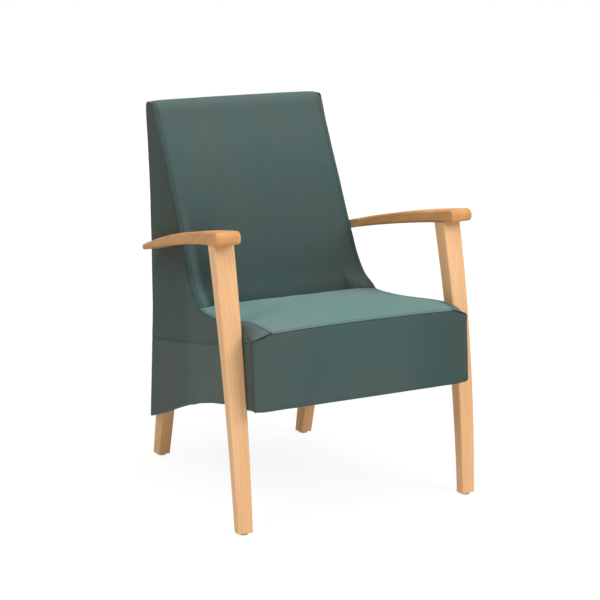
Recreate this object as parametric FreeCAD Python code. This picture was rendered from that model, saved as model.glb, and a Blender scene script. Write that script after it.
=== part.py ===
"""Low-back armchair: beech legs and arms around an upholstered seat and wedge-shaped back.

Millimetres. X is to the right of someone facing the chair, Y runs from the front to the back, Z is up.
The origin is on the floor under the middle of the outline. A "run" is a distance behind the seat front.
"""
import FreeCAD
import Part
import os
from math import atan2, cos, pi, sin, sqrt, tan

os.makedirs("parts", exist_ok=True)
Vec = FreeCAD.Vector

# Body in plan
SEAT_FRONT_Y = -327.0
FRONT_HALF = 273.0
BACK_HALF = 226.5
BEND_RUN = 420.0

# Side outline: hem, band seam, seat edge, wing, reclined edge, rear edge
HEM_FRONT_Z = 271.0
HEM_MID_RUN = 330.0
HEM_MID_Z = 212.0
HEM_REAR_RUN = 640.0
HEM_REAR_Z = 101.0
BAND_FRONT_Z = 427.0
BAND_MID_Z = 350.0
BAND_REAR_Z = 300.0
EDGE_FRONT_Z = 437.0
WING_START_RUN = 325.0
WING_START_Z = 425.5
WING_MID_RUN = 380.0
WING_MID_Z = 453.0
WING_END_RUN = 418.0
WING_END_Z = 504.0
BACK_TOP_RUN = 601.5
BACK_TOP_Z = 868.5
REAR_TOP_RUN = 638.0
REAR_TOP_RISE = 0.5
REAR_WAIST_RUN = 616.5
REAR_WAIST_Z = 450.0
TOP_ARCH_RISE = 7.5
REAR_ARCH = 45.0
CORNER_RUN = 26.0
CORNER_DROP = 10.0

# Seat top form
FRONT_SEAM_Z = 441.0
CREST_RUN = 100.0
CREST_Z = 461.0
CREASE_RUN = 374.0
CREASE_Z = 426.0
SEAT_CROWN = 18.0
SEAT_ROLL = 22.0
SEAT_TUCK = 26.0
SEAT_ROLL_SHARE = 0.72
SHOULDER_RISE = 2.5
SHOULDER_EASE = 1.0
FRONT_STATIONS = [0.1, 0.25, 0.55, 1.0]
REAR_STATIONS = 6

# Back form
BACK_CROWN = 9.0
WING_REACH = 46.0
WING_SHARE = 0.6
WING_SAG = 9.8
BACK_SAG = 0.8
TOP_CROWN_SHARE = 0.4
TOP_EASE_RUN = 0.6
TOP_EASE_Z = 0.8
BACK_STATIONS = [0.0, 0.3, 0.6, 0.82, 0.93, 1.0]

# Thicknesses and clearances
SKIN = 2.0
CLEAR = 0.3
BOARD_T = 22.0
BOARD_EDGE_R = 12.0
NOSE_CLIP_OUT = 20.0
NOSE_CLIP_IN = 4.0
NOSE_CLIP_RUN = 40.0
NOSE_CLIP_RISE = 20.0
GUSSET_T = 9.0
FRONT_PAD_T = 5.0
FRONT_BOARD_T = 17.0
BAND_CORNER_R = 12.0
BAND_RETURN_RUN = 66.0
HEM_MARGIN = 5.0

# Front legs
LEG_LEVEL_Z = 620.0
LEG_TOP_W = 48.0
LEG_TOP_D = 38.0
LEG_FOOT_W = 35.5
LEG_FOOT_D = 24.5
LEG_FOOT_RUN = 12.0
LEG_TOP_RUN = 102.0
LEG_BOW = 14.0
LEG_LEAN = 5.0
LEG_EDGE_R = 4.0

# Rear legs
REAR_FOOT_W = 31.5
REAR_TOP_W = 33.0
REAR_SPLAY = 1.0
REAR_FOOT_D = 32.0
REAR_TOP_D = 58.0
REAR_FOOT_RUN = 622.0
REAR_RAKE = 88.4
REAR_TOP_LEVEL = 345.0
REAR_EDGE_R = 3.5

# Arms
ARM_W = 57.0
ARM_NOSE_RUN = 67.0
ARM_TAIL_RUN = 575.0
ARM_NOSE_Z = 655.0
ARM_MID_Z = 610.6
ARM_TAIL_Z = 542.0
ARM_NOSE_T = 28.3
ARM_MID_T = 25.2
ARM_TAIL_T = 14.0
ARM_EDGE_R = 5.5
ARM_NOSE_TOP_R = 13.0
ARM_NOSE_LOW_R = 9.0

# Glides and nails
GLIDE_R = 9.5
GLIDE_H = 5.0
NAIL_R = 1.3
NAIL_L = 18.0

# Bolts, plugs, dowels
BOLT_R = 4.0
BOLT_HEAD_R = 6.5
BOLT_HEAD_H = 6.0
BOLT_L = 58.0
BOLT_FIT = 0.2
PLUG_R = 7.5
PLUG_T = 7.0
PLUG_PROUD = 0.6
INSERT_WALL = 2.0
INSERT_L = 16.0
INSERT_SET_IN = 5.0
LEG_BOLT_LOW_Z = 373.0
LEG_BOLT_STEP = 54.0
REAR_BOLT_LOW_Z = 200.0
REAR_BOLT_STEP = 90.0
REAR_BOLT_L = 36.0
DOWEL_R = 5.0
DOWEL_L = 42.0
DOWEL_UP = 17.0
DOWEL_STEP = 22.0
DOWEL_FIT = 0.1
ARM_BOLT_R = 3.0
ARM_BOLT_HEAD_R = 5.0
ARM_BOLT_HEAD_H = 3.5
ARM_BOLT_L = 28.0
ARM_BOLT_FRONT_RUN = 478.0
ARM_BOLT_STEP = 56.0
ARM_INSERT_WALL = 1.4

# Seat frame
DECK_Z = 378.0
BATTEN_W = 22.0
BATTEN_H = 40.0
BATTEN_END = 14.0
REAR_RAIL_RUN = 430.0
REAR_RAIL_H = 62.0
BLOCK_LEG = 52.0
BLOCK_H = 60.0
WEB_T = 1.5
WEB_W = 50.0
LONG_WEBS = 4
LONG_WEB_PITCH = 82.0
CROSS_WEBS = 4
CROSS_WEB_FIRST = 92.0
CROSS_WEB_PITCH = 80.0

# Back frame
STILE_W = 24.0
STILE_D = 20.0
STILE_LOW_Z = 440.0
STILE_TOP_GAP = 38.5
BACK_FOAM_LOW_T = 58.0
BACK_FOAM_HIGH_T = 17.0
TOP_RAIL_H = 30.0
LUMBAR_Z = 560.0
LUMBAR_H = 50.0
LUMBAR_T = 18.0
BACK_WEBS = 4
BACK_WEB_FIRST_Z = 500.0
BACK_WEB_TOP_GAP = 86.5
HEM_BATTEN_W = 20.0
HEM_BATTEN_H = 30.0
CLOTH_T = 1.0

REAR_TOP_Z = BACK_TOP_Z + REAR_TOP_RISE
TOP_ARCH_Z = BACK_TOP_Z + TOP_ARCH_RISE
TOP_RAIL_LOW_Z = BACK_TOP_Z - TOP_RAIL_H
TAPER = atan2(FRONT_HALF - BACK_HALF, BEND_RUN)
OUT = Vec(cos(TAPER), sin(TAPER), 0)
ALONG = Vec(-sin(TAPER), cos(TAPER), 0)
X_AXIS = Vec(1, 0, 0)
Z_AXIS = Vec(0, 0, 1)
FAR = 2.0 * (BACK_TOP_Z + FRONT_HALF)


def at(run, z, x=0.0):
    """Point at a run behind the seat front, a height and an X."""
    return Vec(x, SEAT_FRONT_Y + run, z)


def beside(u, v, z):
    """Point by the right side: u outward from the side plane, v along it from the seat front."""
    return Vec(FRONT_HALF, SEAT_FRONT_Y, z) + OUT * u + ALONG * v


def half_width(run):
    """Half the body's width at a run."""
    return max(FRONT_HALF - run * tan(TAPER), BACK_HALF)


def line(a, b):
    return Part.LineSegment(a, b).toShape()


def arc(a, b, c):
    return Part.Arc(a, b, c).toShape()


def loop(points):
    return Part.makePolygon(points + [points[0]])


def face(edges):
    return Part.Face(Part.Wire(edges))


def prism_x(edges, x0, x1):
    """Solid from an outline in the YZ plane, between two X values."""
    shape = face(edges).extrude(X_AXIS * (x1 - x0))
    shape.translate(X_AXIS * x0)
    return shape


def box(x0, x1, run0, run1, z0, z1):
    return Part.makeBox(x1 - x0, run1 - run0, z1 - z0, at(run0, z0, x0))


def rod(start, way, radius, length):
    return Part.makeCylinder(radius, length, start, way)


def sleeve(start, way, bore, wall, length):
    return rod(start, way, bore + wall, length).cut(rod(start, way, bore, length))


def bolt(tip_of_head, way, radius, length, head_r, head_h):
    """Headed bolt: the head starts at the given point and the shank follows it."""
    head = rod(tip_of_head, way, head_r, head_h)
    return head.fuse(rod(tip_of_head + way * head_h, way, radius, length)).removeSplitter()


def mirrored(shape):
    return shape.mirror(Vec(0, 0, 0), X_AXIS)


def one(shape):
    """The single solid inside a shape."""
    solids = sorted(shape.Solids, key=lambda s: s.Volume)
    return solids[-1]


def save(name, *solids):
    shape = solids[0] if len(solids) == 1 else Part.makeCompound(list(solids))
    good = all(s.isValid() and s.isClosed() for s in shape.Solids)
    print(name, len(shape.Solids), round(shape.Volume), "ok" if good else "NOT VALID")
    shape.exportStep(os.path.join("parts", name + ".step"))


def save_pair(name, right):
    save(name + "_right", right)
    save(name + "_left", mirrored(right))


def arc_value(a, b, c, t):
    """Second coordinate, at a first coordinate t, of the shallow arc through three points."""
    d = 2.0 * (a[0] * (b[1] - c[1]) + b[0] * (c[1] - a[1]) + c[0] * (a[1] - b[1]))
    sq = [p[0] ** 2 + p[1] ** 2 for p in (a, b, c)]
    c0 = (sq[0] * (b[1] - c[1]) + sq[1] * (c[1] - a[1]) + sq[2] * (a[1] - b[1])) / d
    c1 = (sq[0] * (c[0] - b[0]) + sq[1] * (a[0] - c[0]) + sq[2] * (b[0] - a[0])) / d
    reach = sqrt((a[0] - c0) ** 2 + (a[1] - c1) ** 2 - (t - c0) ** 2)
    return c1 + reach if b[1] > c1 else c1 - reach


def hem_z(run):
    return arc_value((0.0, HEM_FRONT_Z), (HEM_MID_RUN, HEM_MID_Z), (HEM_REAR_RUN, HEM_REAR_Z), run)


def band_z(run):
    return arc_value((0.0, BAND_FRONT_Z), (HEM_MID_RUN, BAND_MID_Z), (HEM_REAR_RUN, BAND_REAR_Z), run)


def rear_run(z):
    """Run of the upholstery's rear at a height."""
    waist = (REAR_WAIST_Z, REAR_WAIST_RUN)
    return arc_value((HEM_REAR_Z, HEM_REAR_RUN), waist, (REAR_TOP_Z, REAR_TOP_RUN), z)


def recline(z):
    """Run of the back's front edge at the sides, at a height on its straight part."""
    slope = (BACK_TOP_RUN - WING_END_RUN) / (BACK_TOP_Z - WING_END_Z)
    return WING_END_RUN + slope * (z - WING_END_Z)


def edge_z(run):
    """Height where the seat cover's roll meets the side plane; it dips at the front corners."""
    slope = (WING_START_Z - EDGE_FRONT_Z) / WING_START_RUN
    dip = CORNER_DROP * max(0.0, 1.0 - run / CORNER_RUN) ** 2
    return EDGE_FRONT_Z + slope * run - dip


def seat_centre_z(run):
    """Height of the seat top on its middle line: a rolled front, a crest and a fall to the crease."""
    if run < CREST_RUN:
        return CREST_Z - (CREST_Z - FRONT_SEAM_Z) * (1.0 - run / CREST_RUN) ** 3
    return CREST_Z - (CREST_Z - CREASE_Z) * ((run - CREST_RUN) / (CREASE_RUN - CREST_RUN)) ** 2


def seat_shoulder_z(run):
    """Height of the seat top where its side roll begins."""
    bulge = sin(pi * min(max(run / CREASE_RUN, 0.0), 1.0))
    rise = seat_centre_z(run) - SEAT_CROWN * bulge
    eased = rise - SHOULDER_EASE
    return max(eased, edge_z(run) + SHOULDER_RISE) if run < CREASE_RUN else eased


def seat_top_z(run, x):
    """Height of the seat top at a run and an X, on the crown between the shoulders."""
    top = seat_centre_z(run)
    half = half_width(run) - SEAT_ROLL
    rise = top - seat_shoulder_z(run)
    radius = (rise * rise + half * half) / (2.0 * rise)
    return top - radius + sqrt(radius * radius - min(abs(x), half) ** 2)


def side_outline(inset):
    """Whole side of the upholstery seen from the side, drawn in by an inset."""
    front = at(CORNER_RUN, edge_z(CORNER_RUN) - inset)
    start = at(WING_START_RUN, WING_START_Z - inset)
    askew = inset * cos(pi / 4.0)
    mid = at(WING_MID_RUN + askew, WING_MID_Z - askew)
    end = at(WING_END_RUN + inset, WING_END_Z)
    top = at(BACK_TOP_RUN + inset, BACK_TOP_Z - inset)
    rear = at(REAR_TOP_RUN - inset, REAR_TOP_Z - inset)
    waist = at(REAR_WAIST_RUN - inset, REAR_WAIST_Z)
    low = at(HEM_REAR_RUN - inset, hem_z(HEM_REAR_RUN) + inset)
    hem = at(HEM_MID_RUN, HEM_MID_Z + inset)
    first = at(inset, HEM_FRONT_Z + inset)
    nose = at(inset, edge_z(0.0) - inset)
    return [line(first, nose), line(nose, front), line(front, start), arc(start, mid, end), line(end, top),
            line(top, rear), arc(rear, waist, low), arc(low, hem, first)]


def band_cut(below):
    """Large solid below or above the seam between the band and the upper side panel."""
    front = at(0.0, BAND_FRONT_Z)
    mid = at(HEM_MID_RUN, BAND_MID_Z)
    rear = at(HEM_REAR_RUN, BAND_REAR_Z)
    far = -FAR if below else FAR
    edges = [arc(front, mid, rear), line(rear, at(HEM_REAR_RUN, far)),
             line(at(HEM_REAR_RUN, far), at(0.0, far)), line(at(0.0, far), front)]
    return prism_x(edges, 0.0, FAR)


def side_slab(outer, inner, run_end):
    """Upright slab that follows the right side in plan, between two depths under the outer surface."""
    bend_v = BEND_RUN / cos(TAPER)
    turn = tan(TAPER / 2.0)
    points = [beside(-outer, 0, 0), beside(-outer, bend_v - outer * turn, 0),
              Vec(BACK_HALF - outer, SEAT_FRONT_Y + run_end, 0),
              Vec(BACK_HALF - inner, SEAT_FRONT_Y + run_end, 0),
              beside(-inner, bend_v - inner * turn, 0), beside(-inner, 0, 0)]
    return Part.Face(loop(points)).extrude(Z_AXIS * FAR)


# Bolt places on the right front leg, shared by the leg, its plugs, the covers and the seat side
def leg_share(z):
    return (z - GLIDE_H) / (LEG_LEVEL_Z - GLIDE_H)


def leg_sizes(z):
    """Inner and outer u, front and rear v of the front leg at a height."""
    t = leg_share(z)
    inner = CLEAR + LEG_LEAN * (z - HEM_FRONT_Z) / LEG_LEVEL_Z
    front = LEG_FOOT_RUN + (LEG_TOP_RUN - LEG_FOOT_RUN) * t - 4.0 * LEG_BOW * t * (1.0 - t)
    wide = LEG_FOOT_W + (LEG_TOP_W - LEG_FOOT_W) * t
    deep = LEG_FOOT_D + (LEG_TOP_D - LEG_FOOT_D) * t
    return inner, inner + wide, front, front + deep


def leg_solid():
    """Swept front leg: its side outline crossed with its tapered front outline."""
    heights = [GLIDE_H, 0.5 * (GLIDE_H + ARM_NOSE_Z), ARM_NOSE_Z]
    sizes = [leg_sizes(z) for z in heights]
    reach = 2.0 * LEG_TOP_W
    front = [beside(-reach, k[2], z) for k, z in zip(sizes, heights)]
    rear = [beside(-reach, k[3], z) for k, z in zip(sizes, heights)][::-1]
    edges = [arc(*front), line(front[2], rear[0]), arc(*rear), line(rear[2], front[0])]
    side = face(edges).extrude(OUT * 2.0 * reach)
    low, high = sizes[0], sizes[2]
    points = [beside(low[0], -reach, heights[0]), beside(low[1], -reach, heights[0]),
              beside(high[1], -reach, heights[2]), beside(high[0], -reach, heights[2])]
    return side.common(Part.Face(loop(points)).extrude(ALONG * 4.0 * reach))


LEG_BOLT_ZS = [LEG_BOLT_LOW_Z, LEG_BOLT_LOW_Z + LEG_BOLT_STEP]


def leg_bolt_v(z):
    sizes = leg_sizes(z)
    return 0.5 * (sizes[2] + sizes[3])


def leg_head_u(z):
    """Where the bolt head starts under its plug, measured outward from the side plane."""
    return leg_sizes(z)[1] - PLUG_T


def leg_drill(radius, z, u_from, u_to):
    return rod(beside(u_from, leg_bolt_v(z), z), OUT * -1.0, radius, u_from - u_to)


# Arms
def arm_faces(u):
    """Arm outline edges in the upright plane at a distance u from the side plane."""
    mid = 0.5 * (ARM_NOSE_RUN + ARM_TAIL_RUN)
    tail = beside(u, ARM_TAIL_RUN, ARM_TAIL_Z)
    top = [beside(u, ARM_NOSE_RUN, ARM_NOSE_Z), beside(u, mid, ARM_MID_Z), tail]
    low = [beside(u, ARM_TAIL_RUN, ARM_TAIL_Z - ARM_TAIL_T), beside(u, mid, ARM_MID_Z - ARM_MID_T),
           beside(u, ARM_NOSE_RUN, ARM_NOSE_Z - ARM_NOSE_T)]
    return top, low


def arm_low_z(v):
    """Height of the arm's underside at v."""
    mid = 0.5 * (ARM_NOSE_RUN + ARM_TAIL_RUN)
    return arc_value((ARM_NOSE_RUN, ARM_NOSE_Z - ARM_NOSE_T), (mid, ARM_MID_Z - ARM_MID_T),
                     (ARM_TAIL_RUN, ARM_TAIL_Z - ARM_TAIL_T), v)


top_pts, low_pts = arm_faces(0.0)
arm_edges = [arc(*top_pts), line(top_pts[2], low_pts[0]), arc(*low_pts), line(low_pts[2], top_pts[0])]
arm_block = face(arm_edges).extrude(OUT * ARM_W)
high_pts = [p + Z_AXIS * FAR for p in low_pts]
above = [arc(*low_pts), line(low_pts[2], high_pts[2]), line(high_pts[2], high_pts[0]),
         line(high_pts[0], low_pts[0])]
over_arm = face(above).extrude(OUT * FAR)
over_arm.translate(OUT * (-0.5 * FAR))


def is_tail(edge):
    """True for an edge in the arm's rear end face."""
    return all((p.Point - beside(0, ARM_TAIL_RUN, 0)).dot(ALONG) > -CLEAR for p in edge.Vertexes)


def nose_edge(solid, z):
    """The edge across the arm's front end at a height."""
    across = [e for e in solid.Edges if abs(e.Vertexes[0].Z - z) < CLEAR and abs(e.Vertexes[-1].Z - z) < CLEAR]
    return [e for e in across if abs(e.tangentAt(e.FirstParameter).dot(OUT)) > 0.9]


# The front end is a bull nose; the side edges are then rounded all the way along
arm_nose = arm_block.makeFillet(ARM_NOSE_TOP_R, nose_edge(arm_block, ARM_NOSE_Z))
arm_nose = arm_nose.makeFillet(ARM_NOSE_LOW_R, nose_edge(arm_nose, ARM_NOSE_Z - ARM_NOSE_T))


def is_across(edge):
    """True for a straight edge across the arm's width."""
    return edge.Length > 0.9 * ARM_W and abs(edge.tangentAt(edge.FirstParameter).dot(OUT)) > 0.9


arm = arm_nose.makeFillet(ARM_EDGE_R, [e for e in arm_nose.Edges if not is_tail(e) and not is_across(e)])
arm = arm.cut(box(-FAR, BACK_HALF + CLEAR, -FAR, FAR, 0.0, FAR))

dowel_v = 0.5 * (leg_sizes(LEG_LEVEL_Z)[2] + leg_sizes(LEG_LEVEL_Z)[3])
dowel_mid_u = 0.5 * (leg_sizes(LEG_LEVEL_Z)[0] + leg_sizes(LEG_LEVEL_Z)[1])
dowel_top = arm_low_z(dowel_v) + DOWEL_UP
dowel_seats = [beside(dowel_mid_u + k * DOWEL_STEP / 2.0, dowel_v, dowel_top - DOWEL_L) for k in (-1, 1)]
dowels = [rod(p, Z_AXIS, DOWEL_R, DOWEL_L) for p in dowel_seats]
dowel_holes = [rod(p - Z_AXIS * CLEAR, Z_AXIS, DOWEL_R + DOWEL_FIT, DOWEL_L + 2 * CLEAR) for p in dowel_seats]

# Front leg with its bolt bores
leg = one(leg_solid())
long_edges = [e for e in leg.Edges if abs(e.Vertexes[0].Z - e.Vertexes[1].Z) > LEG_TOP_W]
leg = leg.makeFillet(LEG_EDGE_R, long_edges)
leg = leg.cut(over_arm)
for z in LEG_BOLT_ZS:
    outside = leg_sizes(z)[1] + LEG_TOP_W
    leg = leg.cut(leg_drill(PLUG_R + CLEAR / 3.0, z, outside, leg_head_u(z)))
    leg = leg.cut(leg_drill(BOLT_HEAD_R + BOLT_FIT, z, leg_head_u(z), leg_head_u(z) - BOLT_HEAD_H))
    leg = leg.cut(leg_drill(BOLT_R + BOLT_FIT, z, leg_head_u(z), -BOARD_T))
for hole in dowel_holes:
    leg = leg.cut(hole)
    arm = arm.cut(hole)


def foot_centre(z):
    u0, u1, v0, v1 = leg_sizes(z)
    return beside(0.5 * (u0 + u1), 0.5 * (v0 + v1), z)


def nail_hole(centre):
    return rod(centre, Z_AXIS, NAIL_R + DOWEL_FIT, NAIL_L + CLEAR)


leg = leg.cut(nail_hole(foot_centre(GLIDE_H)))
save_pair("front_leg", one(leg))

# Plugs, bolts and inserts of the front legs
plugs = []
bolts = []
inserts = []
for z in LEG_BOLT_ZS:
    plug = leg_drill(PLUG_R, z, leg_sizes(z)[1] + PLUG_PROUD, leg_head_u(z))
    plugs += [plug, mirrored(plug)]
    screw = bolt(beside(leg_head_u(z), leg_bolt_v(z), z), OUT * -1.0, BOLT_R, BOLT_L - BOLT_HEAD_H,
                 BOLT_HEAD_R, BOLT_HEAD_H)
    bolts += [screw, mirrored(screw)]
    skin_u = -(SKIN + CLEAR)
    mouth = beside(skin_u - INSERT_SET_IN, leg_bolt_v(z), z)
    nut = sleeve(mouth, OUT * -1.0, BOLT_R + DOWEL_FIT, INSERT_WALL, INSERT_L)
    inserts += [nut, mirrored(nut)]
save("leg_bolt_plugs", *plugs)
save("front_leg_bolts", *bolts)
save("front_leg_inserts", *inserts)
save("arm_dowels", *dowels, *[mirrored(d) for d in dowels])


# Rear legs, flat against the back's plywood sides at the top
GUSSET_OUT_X = BACK_HALF - SKIN - CLEAR
GUSSET_IN_X = GUSSET_OUT_X - GUSSET_T


def rear_sizes(z):
    """Inner and outer X, front and rear run of the right rear leg at a height."""
    t = (z - GLIDE_H) / (REAR_TOP_LEVEL - GLIDE_H)
    x1 = GUSSET_IN_X - REAR_SPLAY * (1.0 - t)
    run0 = REAR_FOOT_RUN - REAR_RAKE * t
    return (x1 - REAR_FOOT_W - (REAR_TOP_W - REAR_FOOT_W) * t, x1, run0,
            run0 + REAR_FOOT_D + (REAR_TOP_D - REAR_FOOT_D) * t)


def rear_wire(z):
    x0, x1, run0, run1 = rear_sizes(z)
    return loop([at(run0, z, x0), at(run0, z, x1), at(run1, z, x1), at(run1, z, x0)])


def rear_mid_run(z):
    sizes = rear_sizes(z)
    return 0.5 * (sizes[2] + sizes[3])


rear_leg = Part.makeLoft([rear_wire(GLIDE_H), rear_wire(REAR_TOP_LEVEL)], True, True)
long_edges = [e for e in rear_leg.Edges if abs(e.Vertexes[0].Z - e.Vertexes[1].Z) > REAR_FOOT_W]
rear_leg = rear_leg.makeFillet(REAR_EDGE_R, long_edges)
rear_foot = rear_sizes(GLIDE_H)
rear_centre = at(rear_mid_run(GLIDE_H), GLIDE_H, 0.5 * (rear_foot[0] + rear_foot[1]))
rear_leg = rear_leg.cut(nail_hole(rear_centre))
REAR_BOLT_ZS = [REAR_BOLT_LOW_Z, REAR_BOLT_LOW_Z + REAR_BOLT_STEP]
rear_bolts = []
rear_inserts = []
rear_holes = []
for z in REAR_BOLT_ZS:
    seat = at(rear_mid_run(z), z, rear_sizes(z)[0])
    rear_leg = rear_leg.cut(rod(seat - X_AXIS * BOLT_L, X_AXIS, BOLT_R + BOLT_FIT, 2.0 * BOLT_L))
    screw = bolt(seat - X_AXIS * BOLT_HEAD_H, X_AXIS, BOLT_R, REAR_BOLT_L, BOLT_HEAD_R, BOLT_HEAD_H)
    rear_bolts += [screw, mirrored(screw)]
    nut = sleeve(at(rear_mid_run(z), z, GUSSET_IN_X), X_AXIS, BOLT_R + DOWEL_FIT, INSERT_WALL, GUSSET_T)
    rear_inserts += [nut, mirrored(nut)]
    rear_holes.append(rod(at(rear_mid_run(z), z, 0.0), X_AXIS, BOLT_R + INSERT_WALL + 2 * DOWEL_FIT, FAR))
save_pair("rear_leg", one(rear_leg))
save("rear_leg_bolts", *rear_bolts)
save("rear_leg_inserts", *rear_inserts)

# Glides and their nails
glides = []
nails = []
for centre in (foot_centre(GLIDE_H), rear_centre):
    pad = rod(Vec(centre.x, centre.y, 0.0), Z_AXIS, GLIDE_R, GLIDE_H)
    pad = pad.makeFillet(GLIDE_H / 4.0, [e for e in pad.Edges if e.BoundBox.ZMax < GLIDE_H / 2.0])
    pad = pad.cut(nail_hole(Vec(centre.x, centre.y, GLIDE_H / 2.0)))
    nail = rod(Vec(centre.x, centre.y, GLIDE_H / 2.0), Z_AXIS, NAIL_R, NAIL_L)
    glides += [pad, mirrored(pad)]
    nails += [nail, mirrored(nail)]
save("floor_glides", *glides)
save("glide_nails", *nails)

# Arm bolts, through the back's side into inserts in the arm
ARM_BOLT_RUNS = [ARM_BOLT_FRONT_RUN, ARM_BOLT_FRONT_RUN + ARM_BOLT_STEP]
arm_bolts = []
arm_inserts = []
arm_holes = []
arm_pockets = []
for run in ARM_BOLT_RUNS:
    v = run / cos(TAPER)
    span = ARM_TAIL_RUN - ARM_NOSE_RUN
    thick = ARM_MID_T + (ARM_TAIL_T - ARM_MID_T) * max(0.0, 2.0 * (v - ARM_NOSE_RUN) / span - 1.0)
    z = arm_low_z(v) + 0.5 * thick
    way = X_AXIS
    start = at(run, z, GUSSET_IN_X - ARM_BOLT_HEAD_H)
    screw = bolt(start, way, ARM_BOLT_R, ARM_BOLT_L, ARM_BOLT_HEAD_R, ARM_BOLT_HEAD_H)
    arm_bolts += [screw, mirrored(screw)]
    inlet = at(run, z, BACK_HALF + 2.0 * CLEAR)
    reach = GUSSET_IN_X + ARM_BOLT_L - inlet.x + 2.0 * CLEAR
    bore = ARM_BOLT_R + DOWEL_FIT
    nut = sleeve(inlet, way, bore, ARM_INSERT_WALL, reach)
    arm_inserts += [nut, mirrored(nut)]
    arm = arm.cut(rod(inlet - way * BOLT_L, way, bore + ARM_INSERT_WALL + DOWEL_FIT, BOLT_L + reach + CLEAR))
    arm_holes.append(rod(at(run, z, 0.0), way, ARM_BOLT_R + BOLT_FIT, BACK_HALF + CLEAR))
    arm_pockets.append(rod(start - way * CLEAR, way, ARM_BOLT_HEAD_R + CLEAR, BOLT_L))
save_pair("armrest", one(arm))
save("arm_bolts", *arm_bolts)
save("arm_inserts", *arm_inserts)

# Side covers: one skin on each side, split along the band seam
skin_holes = [leg_drill(BOLT_R + BOLT_FIT, z, BOARD_T, -BOARD_T) for z in LEG_BOLT_ZS]
outline = prism_x(side_outline(0.0), 0.0, FAR)
side_skin = side_slab(0.0, SKIN, HEM_REAR_RUN).common(outline)
for hole in skin_holes + arm_holes:
    side_skin = side_skin.cut(hole)
behind_return = box(0.0, FAR, BAND_RETURN_RUN + CLEAR, FAR, 0.0, FAR)
behind_corner = box(0.0, FAR, BAND_CORNER_R, FAR, 0.0, FAR)
save_pair("upper_side_cover", one(side_skin.common(band_cut(False)).common(behind_corner)))
save_pair("lower_side_cover", one(side_skin.common(band_cut(True)).common(behind_return)))


# Front band: across the front and round both corners
def band_block(inset):
    """Body plan, drawn in by an inset, with rounded front corners."""
    half = FRONT_HALF - inset / cos(TAPER) - inset * tan(TAPER)
    rear = half - (BAND_RETURN_RUN - inset) * tan(TAPER)
    points = [at(inset, 0, -half), at(inset, 0, half), at(BAND_RETURN_RUN, 0, rear),
              at(BAND_RETURN_RUN, 0, -rear)]
    block = Part.Face(loop(points)).extrude(Z_AXIS * FAR)
    corners = [e for e in block.Edges if abs(e.Vertexes[0].Z - e.Vertexes[1].Z) > 1.0
               and e.Vertexes[0].Y < SEAT_FRONT_Y + inset + CLEAR]
    return block.makeFillet(BAND_CORNER_R - inset, corners)


def front_seam(drop):
    """Region below the seam across the front, which falls at both corners."""
    low = HEM_FRONT_Z - CLEAR
    flat = FRONT_HALF - SEAT_ROLL
    edge = edge_z(0.0) - drop
    seam = FRONT_SEAM_Z - drop
    points = [at(0, low, -FRONT_HALF), at(0, edge, -FRONT_HALF), at(0, seam, -flat), at(0, seam, flat),
              at(0, edge, FRONT_HALF), at(0, low, FRONT_HALF)]
    return Part.Face(loop(points)).extrude(Vec(0, FAR, 0))


band_gap = 2.0 * CLEAR
corner_seam = at(BAND_CORNER_R, band_z(BAND_CORNER_R) - band_gap)
return_seam = at(BAND_RETURN_RUN, band_z(BAND_RETURN_RUN) - band_gap)
band_pts = [at(0, 0), at(0, FAR), at(BAND_CORNER_R, FAR), corner_seam, return_seam, at(BAND_RETURN_RUN, 0)]
band_side = [line(band_pts[k - 1], band_pts[k]) for k in range(len(band_pts))]
band = band_block(0.0).cut(band_block(SKIN))
band = band.common(front_seam(SKIN + band_gap)).common(prism_x(band_side, -FAR, FAR))
for hole in skin_holes:
    band = band.cut(hole).cut(mirrored(hole))
save("front_band_cover", one(band.cut(box(-FAR, FAR, BAND_RETURN_RUN, FAR, 0, FAR))))

# Front pad and front board behind the band
pad_front = SKIN + CLEAR
board_front = pad_front + FRONT_PAD_T + CLEAR
board_back = board_front + FRONT_BOARD_T
board_top = edge_z(0.0) - SKIN
low_z = HEM_FRONT_Z + HEM_MARGIN


def front_slab(run0, run1, inset, z0, z1):
    """Upright slab across the front, held inside the tapered sides."""
    a = half_width(run0) - inset
    b = half_width(run1) - inset
    points = [at(run0, z0, -a), at(run0, z0, a), at(run1, z0, b), at(run1, z0, -b)]
    return Part.Face(loop(points)).extrude(Z_AXIS * (z1 - z0))


save("front_pad", front_slab(pad_front, pad_front + FRONT_PAD_T, BAND_CORNER_R, low_z, board_top))
save("seat_front_board", front_slab(board_front, board_back, 0.5 * BAND_CORNER_R, low_z, board_top))

# Seat sides: plywood with the wing, bevelled along the top outer edge and clipped at the front corner
board_out = SKIN + CLEAR
board_in = board_out + BOARD_T
board_first = board_back + CLEAR
board_rise = seat_shoulder_z(CREST_RUN) - SKIN - 2.0 * CLEAR


def board_edges(lift):
    """Side board outline: up to the seat's shoulder along the seat, then round the wing."""
    foot = at(board_first, hem_z(board_first) + HEM_MARGIN)
    nose = at(board_first, board_rise + lift)
    start = at(WING_START_RUN, WING_START_Z - 0.5 * HEM_MARGIN + lift)
    mid = at(WING_MID_RUN + HEM_MARGIN, WING_MID_Z - HEM_MARGIN + lift)
    end = at(BEND_RUN, WING_END_Z - HEM_MARGIN + lift)
    low = at(BEND_RUN, hem_z(BEND_RUN) + HEM_MARGIN)
    half = 0.5 * (board_first + BEND_RUN)
    hem = at(half, hem_z(half) + HEM_MARGIN)
    return [line(foot, nose), line(nose, start), arc(start, mid, end), line(end, low), arc(low, hem, foot)]


def on_board_face(run, z):
    """Point on the side board's outer face at a run and a height."""
    return beside(-board_out, (run + board_out * sin(TAPER)) / cos(TAPER), z)


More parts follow.
